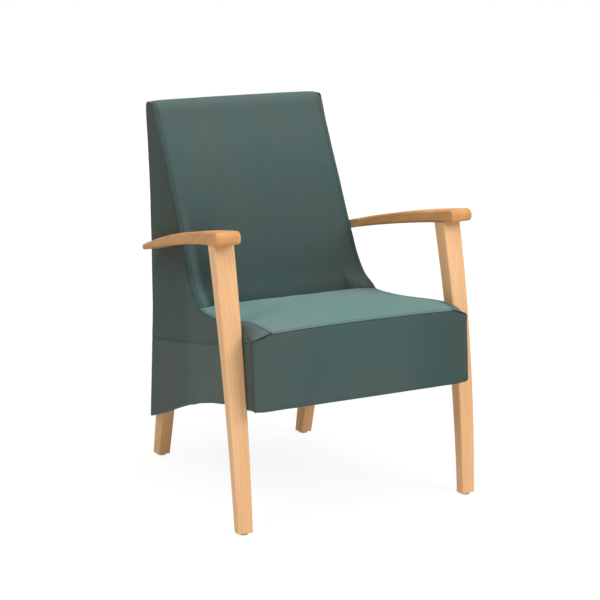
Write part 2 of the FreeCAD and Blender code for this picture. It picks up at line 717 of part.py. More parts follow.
board = one(side_slab(board_out, board_in, HEM_REAR_RUN).common(prism_x(board_edges(0.0), 0.0, FAR)))
bevel_to = on_board_face(WING_START_RUN, WING_START_Z - 0.5 * HEM_MARGIN)
bevel_from = on_board_face(board_first, board_rise)
bevel = Part.Face(loop([bevel_from - Z_AXIS * BOARD_EDGE_R, bevel_from - OUT * BOARD_EDGE_R,
                        bevel_from + (OUT + Z_AXIS) * CLEAR])).extrude(bevel_to - bevel_from)
board = board.cut(bevel)
clip_out = bevel_from + OUT * CLEAR - ALONG * CLEAR - Z_AXIS * NOSE_CLIP_OUT
clip_in = bevel_from - OUT * (BOARD_T + CLEAR) - ALONG * CLEAR - Z_AXIS * NOSE_CLIP_IN
clip_over = Z_AXIS * 2.0 * NOSE_CLIP_OUT
clip = Part.Face(loop([clip_out, clip_in, clip_in + clip_over, clip_out + clip_over]))
board = board.cut(clip.extrude(ALONG * NOSE_CLIP_RUN + Z_AXIS * NOSE_CLIP_RISE))
for z in LEG_BOLT_ZS:
    board = board.cut(leg_drill(BOLT_R + BOLT_FIT, z, BOARD_T, -2.0 * BOARD_T))
    insert_start = board_out + INSERT_SET_IN - CLEAR
    board = board.cut(leg_drill(BOLT_R + INSERT_WALL + 2.0 * DOWEL_FIT, z, -insert_start, -2.0 * BOARD_T))
save_pair("seat_side_board", one(board))

# Back sides: plywood wedges behind the seat sides
gusset_front = BEND_RUN + CLEAR
gusset_edges = prism_x(side_outline(HEM_MARGIN), GUSSET_IN_X, GUSSET_OUT_X)
gusset = one(gusset_edges.common(box(0.0, FAR, gusset_front, FAR, 0.0, FAR)))
for hole in rear_holes + arm_holes:
    gusset = gusset.cut(hole)
save_pair("back_side_board", one(gusset))


# Seat cover and foam: lofts through the same stations
def seat_wire(run, depth, floor_z):
    """Section of the seat top at a run. With a floor it is a closed block, else a skin of one thickness."""
    def chain(deeper):
        half = half_width(run) - SKIN - CLEAR - deeper
        edge = edge_z(run) + CLEAR
        inner = half_width(run) - SEAT_ROLL
        shoulder = max(seat_shoulder_z(run), edge + SHOULDER_RISE) - deeper
        centre = seat_centre_z(run) - deeper
        mid_x = inner + (half - inner) * SEAT_ROLL_SHARE
        mid_z = edge + (shoulder - edge) * SEAT_ROLL_SHARE
        return [(half, edge), (mid_x, mid_z), (inner, shoulder), (0.0, centre)]

    def edges(points, flip):
        (x0, z0), (x1, z1), (x2, z2), (x3, z3) = points
        right = arc(at(run, z0, x0), at(run, z1, x1), at(run, z2, x2))
        top = arc(at(run, z2, x2), at(run, z3, x3), at(run, z2, -x2))
        left = arc(at(run, z2, -x2), at(run, z1, -x1), at(run, z0, -x0))
        return [left, top, right] if flip else [right, top, left]

    outer = chain(depth)
    first = at(run, outer[0][1], outer[0][0])
    last = at(run, outer[0][1], -outer[0][0])
    if floor_z is None:
        inner = chain(depth + SKIN)
        inner_first = at(run, inner[0][1], inner[0][0])
        inner_last = at(run, inner[0][1], -inner[0][0])
        return Part.Wire(edges(outer, False) + [line(last, inner_last)] + edges(inner, True)
                         + [line(inner_first, first)])
    low_right = at(run, floor_z, outer[0][0])
    low_left = at(run, floor_z, -outer[0][0])
    floor = [line(last, low_left), line(low_left, low_right), line(low_right, first)]
    return Part.Wire(edges(outer, False) + floor)


first_run = SKIN / 4.0
seat_runs = [first_run] + [k * CREST_RUN for k in FRONT_STATIONS]
seat_end = CREASE_RUN + SEAT_TUCK
seat_runs += [CREST_RUN + (seat_end - CREST_RUN) * k / REAR_STATIONS for k in range(1, REAR_STATIONS + 1)]
deck = DECK_Z + 2.0 * WEB_T + 3.0 * CLEAR
ear_low = WING_START_Z - SEAT_ROLL
ear_run = WING_START_RUN - CLEAR
ear_pts = [at(ear_run, ear_low), at(ear_run, FAR), at(HEM_REAR_RUN, FAR), at(HEM_REAR_RUN, ear_low)]
wing_edges = [line(ear_pts[k - 1], ear_pts[k]) for k in range(len(ear_pts))]
ear = side_slab(-BOARD_T, board_in + CLEAR, HEM_REAR_RUN).common(prism_x(wing_edges, 0.0, FAR))
seat_cover = Part.makeLoft([seat_wire(r, 0.0, None) for r in seat_runs], True, False)
seat_cover = seat_cover.cut(ear).cut(mirrored(ear))
for z in LEG_BOLT_ZS:
    hole = leg_drill(BOLT_R + INSERT_WALL + 2.0 * BOLT_FIT, z, BOARD_T, -2.0 * BOARD_T)
    seat_cover = seat_cover.cut(hole).cut(mirrored(hole))
save("seat_top_cover", one(seat_cover))

foam_runs = [board_front] + seat_runs[1:]
foam = Part.makeLoft([seat_wire(r, SKIN + CLEAR, deck) for r in foam_runs], True, False)
room = side_slab(-BOARD_T, board_in + CLEAR, HEM_REAR_RUN).common(prism_x(board_edges(CLEAR), 0.0, FAR))
foam = foam.cut(room).cut(mirrored(room)).cut(ear).cut(mirrored(ear))
foam = foam.cut(box(-FAR, FAR, -FAR, board_back + CLEAR, 0.0, board_top + CLEAR))
for z in LEG_BOLT_ZS:
    hole = leg_drill(BOLT_R + INSERT_WALL + BOLT_FIT, z, BOARD_T, -2.0 * BOARD_T)
    foam = foam.cut(hole).cut(mirrored(hole))
save("seat_foam", one(foam))


# Seat battens, rear rail and blocks
def inner_point(run, z, inset):
    """Point an inset inside the side board's inner face at a run."""
    depth = board_in + inset
    return beside(-depth, (run + depth * sin(TAPER)) / cos(TAPER), z)


def side_batten(run0, run1, z0, z1):
    points = [inner_point(run0, z0, 0.0), inner_point(run1, z0, 0.0), inner_point(run1, z0, BATTEN_W),
              inner_point(run0, z0, BATTEN_W)]
    return Part.Face(loop(points)).extrude(Z_AXIS * (z1 - z0))


cross_seat = DECK_Z + WEB_T + CLEAR
side_end = BEND_RUN - BATTEN_END
batten_start = board_back + BATTEN_W + CLEAR
save_pair("seat_side_batten", side_batten(batten_start, side_end, cross_seat - BATTEN_H, cross_seat))
front_a = inner_point(board_back, DECK_Z - BATTEN_H, 0.0)
front_b = inner_point(board_back + BATTEN_W, DECK_Z - BATTEN_H, 0.0)
front_batten = Part.Face(loop([front_a, front_b, Vec(-front_b.x, front_b.y, front_b.z),
                               Vec(-front_a.x, front_a.y, front_a.z)])).extrude(Z_AXIS * BATTEN_H)
save("seat_front_batten", front_batten)
rail_end = REAR_RAIL_RUN + BATTEN_W
save("seat_rear_rail", box(-GUSSET_IN_X, GUSSET_IN_X, REAR_RAIL_RUN, rail_end, DECK_Z - REAR_RAIL_H, DECK_Z))

block_top = DECK_Z - BATTEN_H - CLEAR
corner = inner_point(board_back, block_top - BLOCK_H, 0.0)
block_pts = [corner, corner - X_AXIS * BLOCK_LEG, corner + ALONG * BLOCK_LEG]
block = Part.Face(loop(block_pts)).extrude(Z_AXIS * BLOCK_H)
joint_top = DECK_Z - REAR_RAIL_H - CLEAR
joint_z = joint_top - BLOCK_H
joint_a = inner_point(BEND_RUN - BLOCK_LEG, joint_z, 0.0)
joint_b = inner_point(BEND_RUN, joint_z, 0.0)
joint_in = joint_b.x - BATTEN_W
joint_end = BEND_RUN + BLOCK_LEG
joint = Part.Face(loop([joint_a, joint_b, at(BEND_RUN, joint_z, GUSSET_IN_X),
                        at(joint_end, joint_z, GUSSET_IN_X), at(joint_end, joint_z, joint_in),
                        at(BEND_RUN - BLOCK_LEG, joint_z, joint_in)])).extrude(Z_AXIS * BLOCK_H)
save("corner_blocks", block, mirrored(block))
save("joint_blocks", joint, mirrored(joint))

# Seat webbing: lengthwise strips on the front and rear rails, crosswise strips over them
long_webs = []
for k in range(LONG_WEBS):
    x = (k - 0.5 * (LONG_WEBS - 1)) * LONG_WEB_PITCH
    strip = box(x - 0.5 * WEB_W, x + 0.5 * WEB_W, board_back + CLEAR, rail_end, DECK_Z, DECK_Z + WEB_T)
    long_webs.append(strip)
save("seat_webbing_long", *long_webs)
cross_webs = []
for k in range(CROSS_WEBS):
    run = CROSS_WEB_FIRST + k * CROSS_WEB_PITCH
    a = inner_point(run - 0.5 * WEB_W, cross_seat, CLEAR)
    b = inner_point(run + 0.5 * WEB_W, cross_seat, CLEAR)
    strip = Part.Face(loop([a, b, Vec(-b.x, b.y, b.z), Vec(-a.x, a.y, a.z)])).extrude(Z_AXIS * WEB_T)
    cross_webs.append(strip)
save("seat_webbing_cross", *cross_webs)


# Back: sections from side to side through the cover and the foam
def foam_rear(z):
    """Run of the back foam's rear face at a height."""
    share = (z - WING_START_Z) / (BACK_TOP_Z - WING_START_Z)
    return recline(z) + BACK_FOAM_LOW_T + (BACK_FOAM_HIGH_T - BACK_FOAM_LOW_T) * share


back_half = BACK_HALF - SKIN - CLEAR
LEAN_BACK = atan2(BACK_TOP_RUN - WING_END_RUN, BACK_TOP_Z - WING_END_Z)


def back_points(x, deeper):
    """Front of the back at an X: crease, wing curve, wing end, middle and top, pushed in by a depth."""
    share = min(abs(x) / back_half, 1.0)
    crown = BACK_CROWN * (1.0 - share ** 4)
    wing = max(0.0, (share - WING_SHARE) / (1.0 - WING_SHARE)) ** 2
    low_run = CREASE_RUN - WING_REACH * wing
    low_z = seat_top_z(low_run, x) + 2.0 * CLEAR
    end_run = WING_END_RUN - crown
    sag = BACK_SAG + WING_SAG * wing
    chord = sqrt((end_run - low_run) ** 2 + (WING_END_Z - low_z) ** 2)
    curve_run = 0.5 * (low_run + end_run) + sag * (WING_END_Z - low_z) / chord
    curve_z = 0.5 * (low_z + WING_END_Z) - sag * (end_run - low_run) / chord
    top_z = BACK_TOP_Z - 3.0 * SKIN
    top_run = recline(top_z) - TOP_CROWN_SHARE * crown
    mid_z = 0.5 * (WING_END_Z + top_z)
    mid_run = recline(mid_z) - crown - BACK_SAG
    push_run = deeper * cos(LEAN_BACK)
    push_z = -deeper * sin(LEAN_BACK)
    return [(low_run + deeper / cos(LEAN_BACK), low_z), (curve_run + push_run, curve_z + push_z),
            (end_run + push_run, WING_END_Z + push_z), (mid_run + push_run, mid_z + push_z),
            (top_run + push_run, top_z + push_z)]


def top_points(x, deeper):
    """Roll over the top of the back: middle of the roll and its rear end."""
    share = min(abs(x) / back_half, 1.0)
    arch = TOP_ARCH_Z - (TOP_ARCH_Z - REAR_TOP_Z - SKIN) * share ** 2
    return [(0.5 * (BACK_TOP_RUN + REAR_TOP_RUN), arch - deeper),
            (REAR_TOP_RUN - CLEAR - TOP_EASE_RUN * deeper, REAR_TOP_Z - CLEAR - TOP_EASE_Z * deeper)]


def strand(points, x, flip):
    """Arcs through consecutive triples of points at an X."""
    spots = [at(run, z, x) for run, z in points]
    arcs = [arc(spots[k], spots[k + 1], spots[k + 2]) for k in range(0, len(spots) - 2, 2)]
    return arcs[::-1] if flip else arcs


def cover_wire(x):
    outer = back_points(x, 0.0) + top_points(x, 0.0)
    inner = back_points(x, SKIN) + top_points(x, SKIN)
    rear_end = line(at(*outer[-1], x), at(*inner[-1], x))
    low_end = line(at(*inner[0], x), at(*outer[0], x))
    return Part.Wire(strand(outer, x, False) + [rear_end] + strand(inner, x, True) + [low_end])


foam_top_z = TOP_RAIL_LOW_Z - CLEAR


def back_foam_wire(x):
    depth = SKIN + 2.0 * CLEAR
    front = back_points(x, depth)
    crown = recline(WING_END_Z) - front[2][0] + depth * cos(LEAN_BACK)
    end = (recline(foam_top_z) + depth - TOP_CROWN_SHARE * crown, foam_top_z)
    front[4] = end
    rear_high = (foam_rear(foam_top_z), foam_top_z)
    low_z = seat_top_z(CREASE_RUN, 0.0) + 3.0 * CLEAR
    low_z = max(low_z, front[0][1])
    rear_low = (foam_rear(low_z), low_z)
    corners = [at(*spot, x) for spot in (end, rear_high, rear_low, front[0])]
    return Part.Wire(strand(front, x, False) + [line(corners[k], corners[k + 1]) for k in range(3)])


shares = [-k for k in BACK_STATIONS[:0:-1]] + BACK_STATIONS
inside_back = Part.makeLoft([cover_wire(k * back_half) for k in shares], True, False)
inside_back = inside_back.cut(room).cut(mirrored(room))
save("inside_back_cover", one(inside_back))
foam_half = GUSSET_IN_X - CLEAR
back_foam = Part.makeLoft([back_foam_wire(k * foam_half) for k in shares], True, False)
back_foam = back_foam.cut(room).cut(mirrored(room))
for pocket in arm_pockets:
    back_foam = back_foam.cut(pocket).cut(mirrored(pocket))
save("back_foam", one(back_foam))

# Outside back cover
out_high = REAR_TOP_Z - 2.0 * SKIN
out_mid = REAR_WAIST_Z
out_low = HEM_REAR_Z
outer = [at(rear_run(z), z) for z in (out_high, out_mid, out_low)]
inner = [p - Vec(0, SKIN, 0) for p in outer]
outside_edges = [arc(*outer), line(outer[2], inner[2]), arc(*inner[::-1]), line(inner[0], outer[0])]
arch_mid = at(0.0, HEM_REAR_Z + REAR_ARCH)
arch_ends = [at(0.0, HEM_REAR_Z, -back_half), arch_mid, at(0.0, HEM_REAR_Z, back_half)]
arch_top = [at(0.0, FAR, back_half), at(0.0, FAR, -back_half)]
over_arch = face([arc(*arch_ends), line(arch_ends[2], arch_top[0]), line(arch_top[0], arch_top[1]),
                  line(arch_top[1], arch_ends[0])]).extrude(Vec(0, FAR, 0))
save("outside_back_cover", one(prism_x(outside_edges, -back_half, back_half).common(over_arch)))

# Back frame
rail_low = TOP_RAIL_LOW_Z
rail_high = BACK_TOP_Z - 3.0 * SKIN
rail_pts = [at(recline(rail_low) + 2.0 * SKIN, rail_low), at(recline(rail_high) + 2.0 * SKIN, rail_high),
            at(rear_run(rail_high) - SKIN - CLEAR, rail_high), at(rear_run(rail_low) - SKIN - CLEAR, rail_low)]
rail_edges = [line(rail_pts[k - 1], rail_pts[k]) for k in range(len(rail_pts))]
save("back_top_rail", prism_x(rail_edges, -GUSSET_IN_X, GUSSET_IN_X))


def slanted(z0, z1, ahead, thick, x0, x1):
    """Bar that follows the back foam's rear face between two heights."""
    low = foam_rear(z0) + ahead
    high = foam_rear(z1) + ahead
    pts = [at(low, z0), at(high, z1), at(high + thick, z1), at(low + thick, z0)]
    return prism_x([line(pts[k - 1], pts[k]) for k in range(len(pts))], x0, x1)


web_ahead = CLEAR
stile_ahead = web_ahead + WEB_T + CLEAR
lumbar_half = GUSSET_IN_X - STILE_W
stile_high_z = TOP_RAIL_LOW_Z - STILE_TOP_GAP
save_pair("back_stile", slanted(STILE_LOW_Z, stile_high_z, stile_ahead, STILE_D, lumbar_half, GUSSET_IN_X))
save("lumbar_rail", slanted(LUMBAR_Z, LUMBAR_Z + LUMBAR_H, stile_ahead, LUMBAR_T, -lumbar_half, lumbar_half))
web_pitch = (TOP_RAIL_LOW_Z - BACK_WEB_TOP_GAP - BACK_WEB_FIRST_Z) / (BACK_WEBS - 1)
back_webs = []
for k in range(BACK_WEBS):
    z = BACK_WEB_FIRST_Z + k * web_pitch
    back_webs.append(slanted(z - 0.5 * WEB_W, z + 0.5 * WEB_W, web_ahead, WEB_T, -foam_half, foam_half))
save("back_webbing", *back_webs)

# Rear hem batten and underside cloth
cloth_rise = HEM_MARGIN + CLEAR
cloth_run0 = board_back + CLEAR
cloth_run2 = rear_sizes(REAR_BOLT_LOW_Z)[2] - CLEAR
batten_run = cloth_run2 - HEM_BATTEN_W
cloth_run1 = 0.5 * (cloth_run0 + cloth_run2)
under = [at(r, hem_z(r) + cloth_rise) for r in (cloth_run0, cloth_run1, cloth_run2)]
over = [p + Z_AXIS * CLOTH_T for p in under]
cloth_edges = [arc(*under), line(under[2], over[2]), arc(*over[::-1]), line(over[0], under[0])]
plan_a = inner_point(0.0, 0.0, CLEAR)
plan_b = inner_point(BEND_RUN, 0.0, CLEAR)
plan_c = at(BEND_RUN + CLEAR, 0.0, foam_half)
plan_d = at(HEM_REAR_RUN, 0.0, foam_half)
right_pts = [plan_a, plan_b, Vec(plan_b.x, plan_c.y, 0.0), plan_c, plan_d]
left_pts = [Vec(-p.x, p.y, 0.0) for p in right_pts[::-1]]
cloth_plan = Part.Face(loop(right_pts + left_pts)).extrude(Z_AXIS * FAR)
save("underside_cloth", one(prism_x(cloth_edges, -FAR, FAR).common(cloth_plan)))
batten_z = hem_z(batten_run) + cloth_rise + CLOTH_T + CLEAR
batten_top = batten_z + HEM_BATTEN_H
save("rear_hem_batten", box(-GUSSET_IN_X, GUSSET_IN_X, batten_run, cloth_run2, batten_z, batten_top))
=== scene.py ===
"""Low-back armchair, dressed: sewn cloth panels over seat and back, lacquered beech legs and arms.

Sizes are millimetres until a mesh is made. A "run" is a distance behind the seat front, X is to the right.
"""
import logging
import math
from abc import ABC, abstractmethod
from dataclasses import dataclass, field
from enum import Enum
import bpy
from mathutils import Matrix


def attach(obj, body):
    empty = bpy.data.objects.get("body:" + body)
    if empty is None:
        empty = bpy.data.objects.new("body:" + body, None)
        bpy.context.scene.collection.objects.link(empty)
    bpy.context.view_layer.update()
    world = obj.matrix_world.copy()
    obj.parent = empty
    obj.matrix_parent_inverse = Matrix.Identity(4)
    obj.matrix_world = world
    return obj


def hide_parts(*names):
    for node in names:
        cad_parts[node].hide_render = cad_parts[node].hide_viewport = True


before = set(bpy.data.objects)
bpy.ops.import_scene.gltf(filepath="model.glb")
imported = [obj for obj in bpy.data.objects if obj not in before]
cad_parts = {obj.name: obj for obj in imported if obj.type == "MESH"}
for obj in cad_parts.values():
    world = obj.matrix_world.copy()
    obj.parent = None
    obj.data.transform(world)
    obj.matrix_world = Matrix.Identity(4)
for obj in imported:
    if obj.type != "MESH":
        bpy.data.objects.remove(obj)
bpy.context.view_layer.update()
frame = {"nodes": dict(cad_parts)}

from fnmatch import fnmatchcase

import bpy
import numpy as np
from mathutils import Vector, noise
from mathutils.geometry import delaunay_2d_cdt

LOG = logging.getLogger("armchair")
Array = np.ndarray
Triple = tuple[float, float, float]
Socket = bpy.types.NodeSocket
Material = bpy.types.Material
MM = 0.001
SEAT_FRONT_Y = -327.0
FLOOR_Z = -0.0004
QUARTER_ELLIPSE = 1.571
MEASURE_STEP = 3.0
OUTLINE_STEP = 3.2
STITCH_STEP = 2.0
PUCKER_HEIGHT = 0.16
PUCKER_REACH = 7.0
SEAM_SHADE_WIDTH = 1.35
CHANNEL_WIDTH = 1.1
CHANNEL_DEPTH = 0.6
CHANNEL_SHADE = 0.5
WELT_HEIGHT = 0.35
WELT_PLACE = 3.4
WELT_WIDTH = 1.6


class Side(Enum):
    """The two hands of the chair, as a sign on X."""

    LEFT = -1.0
    RIGHT = 1.0

    @property
    def word(self) -> str:
        """The ending that node names use."""
        return self.name.lower()


class Grain(Enum):
    """How a timber's grain lies, as turns about X, Y and Z in degrees."""

    LEG = (-8.0, 0.0, 0.0)
    REAR_LEG = (14.4, 0.0, 0.0)
    ARM = (58.0, 0.0, 0.0)
    ACROSS = (0.0, 90.0, 0.0)


@dataclass(frozen=True)
class Line:
    """Smooth curve through a few sizes, with no overshoot between them.

    Args:
        knots: Pairs of place and value, in rising order of place.
    """

    knots: tuple[tuple[float, float], ...]

    def __call__(self, t: Array) -> Array:
        """Value at each place.

        Args:
            t: Places along the curve.

        Returns:
            The curve's values, held level past its ends.
        """
        xs, ys = np.array(self.knots, float).T
        step = np.diff(xs)
        rise = np.diff(ys) / step
        slope = np.zeros_like(xs)
        same = rise[1:] * rise[:-1] > 0
        left, right = 2 * step[1:] + step[:-1], step[1:] + 2 * step[:-1]
        safe = np.where(same, rise[:-1], 1.0), np.where(same, rise[1:], 1.0)
        slope[1:-1] = np.where(same, (left + right) / (left / safe[0] + right / safe[1]), 0.0)
        slope[0], slope[-1] = rise[0], rise[-1]
        t = np.clip(np.asarray(t, float), xs[0], xs[-1])
        k = np.clip(np.searchsorted(xs, t) - 1, 0, len(step) - 1)
        u = (t - xs[k]) / step[k]
        a, b = ys[k], ys[k + 1]
        h, m0, m1 = step[k], slope[k], slope[k + 1]
        return (a * (1 + 2 * u) * (1 - u) ** 2 + h * m0 * u * (1 - u) ** 2
                + b * u * u * (3 - 2 * u) - h * m1 * u * u * (1 - u))


def add_object(name: str, data: bpy.types.ID) -> bpy.types.Object:
    """Adds an object to the scene.

    Args:
        name: The object's name.
        data: Its mesh, camera or light.

    Returns:
        The new object.
    """
    made = bpy.data.objects.new(name, data)
    bpy.context.scene.collection.objects.link(made)
    return made


def ramp(t: Array, low: float, high: float) -> Array:
    """Smooth rise from 0 at low to 1 at high.

    Args:
        t: Values to place on the ramp.
        low: Where the ramp starts.
        high: Where the ramp ends.

    Returns:
        The ramp's values.
    """
    u = np.clip((np.asarray(t, float) - low) / (high - low), 0.0, 1.0)
    return u * u * (3 - 2 * u)


def turn_under(b: Array, hem: Array, radius: float) -> tuple[Array, Array]:
    """Path of cloth that runs down to a hem and folds under it.

    Args:
        b: Length coordinate, equal to height above the fold.
        hem: Height of the lowest line.
        radius: Radius of the fold.

    Returns:
        How far inward the cloth has turned, and its height.
    """
    past = np.maximum(hem + radius - b, 0.0)
    angle = np.minimum(past / radius, math.pi / 2)
    flat = np.maximum(past - radius * math.pi / 2, 0.0)
    inward = radius * (1 - np.cos(angle)) + flat
    return inward, np.where(past > 0, hem + radius * (1 - np.sin(angle)), b)


@dataclass(frozen=True)
class BodyForm:
    """Outer form of the upholstery, shared by all its panels so that their seams meet.

    Attributes:
        front_half: Half the width at the front.
        back_half: Half the width of the back, from bend_run on.
        corner_r: Radius that sets the cloth's length round a front corner.
        corner_turn: Radius of the corner as it stands.
        corner_reach: Length along the side over which the corner's form fades.
        set_back: How far the front's upper corners stand back.
        set_back_from: Distance from the middle where that starts.
        wing_low: Run and height of the wing's foot, and wing_high of its head.
        wing_roll: How far the side's seam drops below the wing's edge.
        roll_full_run: Run where that drop is full, until roll_fade_run.
        band_end_run: Run where the band seam meets the rear.
        hem_end_run: Run where the hem meets the rear.
    """

    front_half: float = 273.0
    back_half: float = 226.5
    bend_run: float = 420.0
    corner_r: float = 9.0
    corner_turn: float = 6.0
    corner_reach: float = 60.0
    set_back: float = 9.0
    set_back_from: float = 215.0
    top_run: float = 601.5
    top_z: float = 868.5
    rear_top_run: float = 638.0
    rear_top_z: float = 869.0
    wing_low: tuple[float, float] = (344.0, 428.5)
    wing_roll: float = 8.0
    roll_full_run: float = 400.0
    roll_fade_run: float = 570.0
    band_end_run: float = 622.6
    hem_end_run: float = 639.0
    wing_high: tuple[float, float] = (418.0, 504.0)
    hem: Line = Line(((0, 271), (100, 261), (236, 234), (351, 204.5), (476, 163), (561, 128.5),
                      (640, 101)))
    band: Line = Line(((0, 427.5), (6, 425.8), (62, 412), (225, 374), (346, 347.5), (471, 325),
                       (583, 307), (640, 294)))
    rear: Line = Line(((101, 640), (193, 632), (295, 624), (400, 617), (500, 617), (660, 622), (869, 638)))
    wing: Line = Line(((344, 428.5), (370, 445.5), (395, 473), (418, 504), (440, 547.7), (601.5, 868.5)))
    seam_x: Line = Line(((0, 226), (13, 233.5), (45, 236), (86, 236.7), (118, 239), (180, 243.5),
                         (235, 245.2), (271, 241.6), (310, 237), (344, 233.6), (374, 229.5), (402, 226)))
    seam_z: Line = Line(((0, 441.5), (13, 446.5), (38, 449.6), (65, 450), (86, 448.6), (118, 445), (180, 437),
                         (235, 430), (271, 427.9), (310, 427), (344, 428.5), (402, 424)))
    edge_z: Line = Line(((9, 425), (24, 426), (65, 424.5), (118, 423), (235, 422), (310, 419.8), (344, 420)))
    front_seam: Line = Line(((0, 445.5), (60, 445.3), (120, 444.5), (180, 443.1), (215, 442.1),
                             (223.5, 441.5), (234, 438.4), (264, 429.2), (278.2, 425.8)))
    seat_mid: Line = Line(((0, 445.5), (8, 448.2), (22, 452.8), (50, 458.4), (100, 461), (170, 458.7),
                           (240, 451.9), (310, 440.5), (360, 429.6), (378, 421), (402, 409)))

    @property
    def lean(self) -> float:
        """Slope of the sides in plan."""
        return (self.front_half - self.back_half) / self.bend_run

    @property
    def flat(self) -> float:
        """Half length of the flat front, between the rounded corners."""
        return self.front_half - self.corner_r

    @property
    def arc(self) -> float:
        """Length round one front corner."""
        return math.pi / 2 * self.corner_r

    @property
    def detour(self) -> float:
        """How much longer the way round a corner is than the corner's run."""
        return self.arc - self.corner_r

    def half(self, run: Array) -> Array:
        """Half the body's width at a run, with a soft bend where the sides turn parallel."""
        soft = 2.0
        past = (self.front_half - self.lean * np.asarray(run, float) - self.back_half) / soft
        return self.back_half + soft * np.logaddexp(0.0, past)

    def fade(self, far: Array) -> Array:
        """How much of the corner's form is left at lengths round the body, 0 well along the side."""
        return 1 - np.clip((far - self.arc) / self.corner_reach, 0.0, 1.0)

    def round_corner(self, far: Array) -> tuple[Array, Array, Array]:
        """Plan of the front, its rounded corner and the side behind it.

        Args:
            far: Lengths round the body from the end of the flat front.

        Returns:
            X, run, and the angle turned so far.
        """
        angle = np.clip(far / self.corner_r, 0.0, math.pi / 2)
        past = np.maximum(far - self.arc, 0.0)
        tight = (self.corner_turn - self.corner_r) * self.fade(far)
        run = np.where(past > 0, past + self.corner_r + tight, self.corner_turn * (1 - np.cos(angle)))
        x = self.half(run) - self.corner_turn * (1 - np.sin(angle))
        front = (self.front_half - self.corner_turn) * (1 + far / self.flat)
        return np.where(far < 0, front, x), run, angle

    def sweep(self, x: Array, far: Array) -> Array:
        """How far the front's upper corners stand back.

        Args:
            x: Distances from the middle.
            far: Lengths round the body from the end of the flat front.

        Returns:
            Added runs.
        """
        near = np.clip((x - self.set_back_from) / (self.front_half - self.set_back_from), 0.0, 1.0)
        return self.set_back * self.fade(far) * near ** 2

    def side_top(self, run: Array) -> Array:
        """Height of the side panel's upper seam at a run."""
        run = np.asarray(run, float)
        along_seat = self.seam_z(run)
        rolled = self.wing_roll * ramp(run, self.wing_low[0], self.roll_full_run)
        rolled = rolled * (1 - ramp(run, self.roll_fade_run, self.top_run))
        along_back = np.where(run > self.top_run, self.rear_top_z, self.wing(run) - rolled)
        return np.where(run < self.wing_low[0], along_seat, along_back)


@dataclass
class Border:
    """One stretch of a panel's outline.

    Attributes:
        points: Corner points in the panel's own flat coordinates.
        width: How far from the seam the cloth starts to roll in.
        depth: How deep the roll goes at the seam.
        stitched: Whether a topstitch runs beside it.
        seam: Whether the cloth is sewn there, which puckers it.
        painted_seam_shade: How dark the painted shade along the seam is.
    """

    points: Array
    width: float = 5.0
    depth: float = 1.9
    stitched: bool = False
    seam: bool = True
    painted_seam_shade: float = 1.0


def resample(points: Array, step: float) -> Array:
    """Points at even steps along an open chain.

    Args:
        points: The chain's points.
        step: Wanted distance between points.

    Returns:
        The new points, both ends included.
    """
    lengths = np.r_[0.0, np.cumsum(np.hypot(*np.diff(points, axis=0).T))]
    count = max(2, int(round(lengths[-1] / step)) + 1)
    spots = np.linspace(0.0, lengths[-1], count)
    return np.c_[np.interp(spots, lengths, points[:, 0]), np.interp(spots, lengths, points[:, 1])]


def distance_to(chain: Array, points: Array) -> tuple[Array, Array]:
    """Distance from points to a chain, and the length along it at the nearest place.

    Args:
        chain: The chain's points.
        points: Points to measure from.

    Returns:
        Distances, and lengths along the chain.
    """
    start, way = chain[:-1], np.diff(chain, axis=0)
    span = np.maximum((way ** 2).sum(1), 1e-12)
    before = np.r_[0.0, np.cumsum(np.sqrt(span))][:-1]
    far, along = [], []
    for block in np.array_split(points, max(1, len(points) // 1500)):
        rel = block[:, None, :] - start[None]
        u = np.clip((rel * way).sum(2) / span, 0.0, 1.0)
        gap = np.hypot(*(rel - u[..., None] * way).transpose(2, 0, 1))
        best = gap.argmin(1)
        rows = np.arange(len(block))
        far.append(gap[rows, best])
        along.append(before[best] + u[rows, best] * np.sqrt(span[best]))
    return np.concatenate(far), np.concatenate(along)


def inside(outline: Array, points: Array) -> Array:
    """Which points lie inside a closed outline.

    Args:
        outline: The outline's points, in order.
        points: Points to test.

    Returns:
        True for each point inside.
    """
    x, y = points.T
    hit = np.zeros(len(points), bool)
    for (x0, y0), (x1, y1) in zip(outline, np.roll(outline, -1, axis=0)):
        if y0 == y1:
            continue
        crosses = (y0 > y) != (y1 > y)
        hit ^= crosses & (x < (x1 - x0) * (y - y0) / (y1 - y0) + x0)
    return hit


